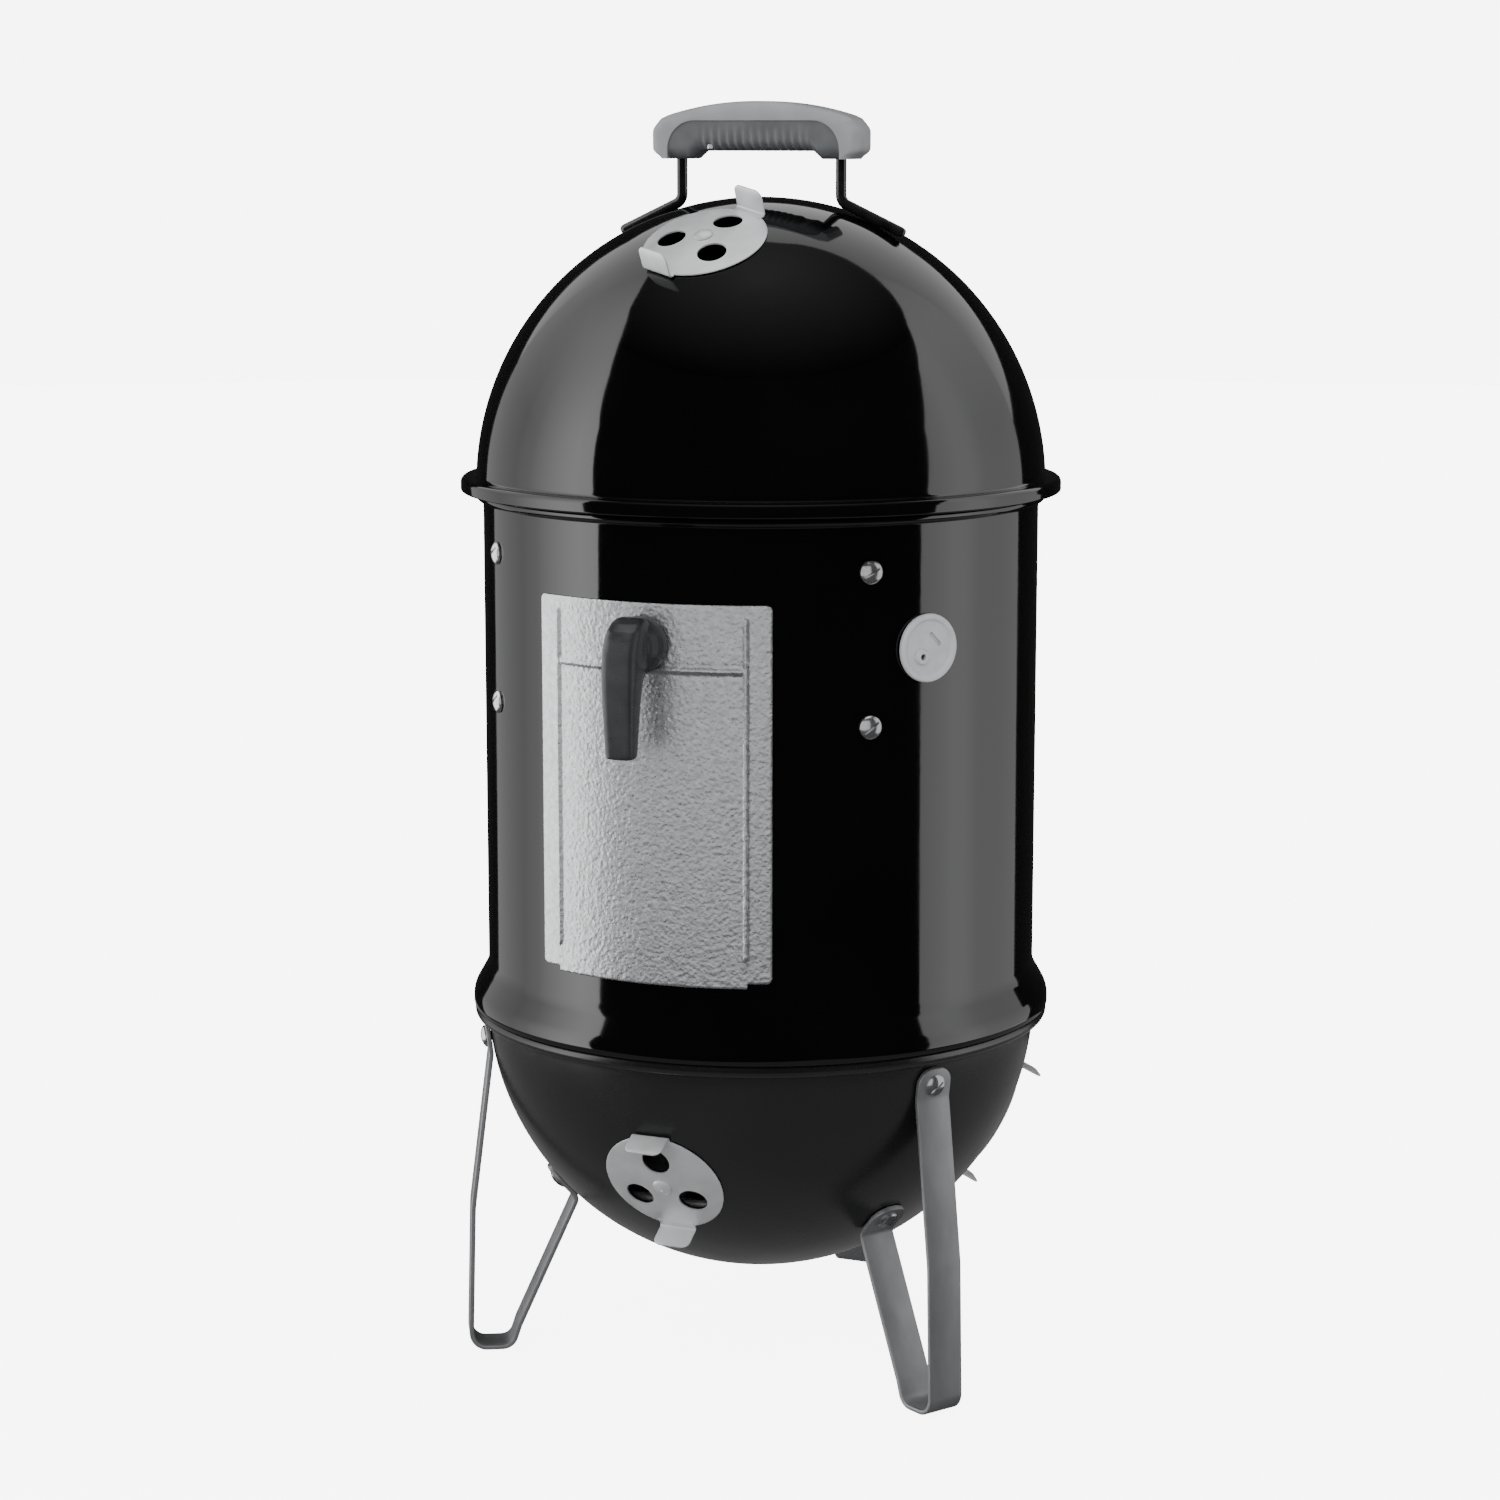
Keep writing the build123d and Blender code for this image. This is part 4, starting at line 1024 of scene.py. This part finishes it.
# The floor and the backdrop glow for the camera only, so that they look white and don't light the object.
ROOM_R = 9000
material, nodes, links = blank("floor_white")
nodes["Principled BSDF"].inputs["Base Color"].default_value = (0.9, 0.9, 0.9, 1)
nodes["Principled BSDF"].inputs["Roughness"].default_value = 0.9
nodes["Principled BSDF"].inputs["Emission Color"].default_value = (1, 1, 1, 1)
nodes["Principled BSDF"].inputs["Emission Strength"].default_value = FLOOR_GLOW
corners = [(x * ROOM_R, y * ROOM_R, -0.6) for x, y in ((-1, -1), (1, -1), (1, 1), (-1, 1))]
floor = new_object("floor", corners, [(0, 1, 2, 3)])
floor.data.materials.append(material)
material, nodes, links = blank("backdrop_white")
nodes["Principled BSDF"].inputs["Base Color"].default_value = (0, 0, 0, 1)
nodes["Principled BSDF"].inputs["Emission Color"].default_value = (1, 1, 1, 1)
nodes["Principled BSDF"].inputs["Emission Strength"].default_value = BACKDROP_GLOW
inside, outside = [
    [(r * cos(radians(a)), r * sin(radians(a)) - 40) for a in range(0, 90, 5)] + [(0, r - 40)]
    for r in (ROOM_R, ROOM_R + 30)
]
backdrop = lathe("backdrop", inside + outside[::-1], 64)
backdrop.data.materials.append(material)
for obj in (floor, backdrop):
    obj.visible_glossy = False
    obj.visible_diffuse = False
backdrop.visible_shadow = False

world = bpy.data.worlds.new("studio")
bpy.context.scene.world = world
world.use_nodes = True
nodes, links = world.node_tree.nodes, world.node_tree.links
background = nodes["Background"]
path = nodes.new("ShaderNodeLightPath")
mix = nodes.new("ShaderNodeMixShader")
dim = nodes.new("ShaderNodeBackground")
background.inputs["Color"].default_value = (1, 1, 1, 1)
background.inputs["Strength"].default_value = 1.0
dim.inputs["Color"].default_value = (1, 1, 1, 1)
dim.inputs["Strength"].default_value = 0.02
links.new(path.outputs["Is Glossy Ray"], mix.inputs["Fac"])
links.new(background.outputs["Background"], mix.inputs[1])
links.new(dim.outputs["Background"], mix.inputs[2])
links.new(mix.outputs["Shader"], nodes["World Output"].inputs["Surface"])

CAMERA_DISTANCE, CAMERA_Z = 2.262, 0.7795
# The camera looks a little to the left of the axis and above the middle.
AIM_LEFT, AIM_Z = 0.0068, 0.3875
camera = bpy.data.cameras.new("camera")
camera.sensor_width = 36
camera.lens = 86.6
view = bpy.data.objects.new("camera", camera)
bpy.context.scene.collection.objects.link(view)
target = (-AIM_LEFT * cos(VIEW), -AIM_LEFT * sin(VIEW), AIM_Z)
aimed(view, around(0, CAMERA_DISTANCE, CAMERA_Z), target)
bpy.context.scene.camera = view
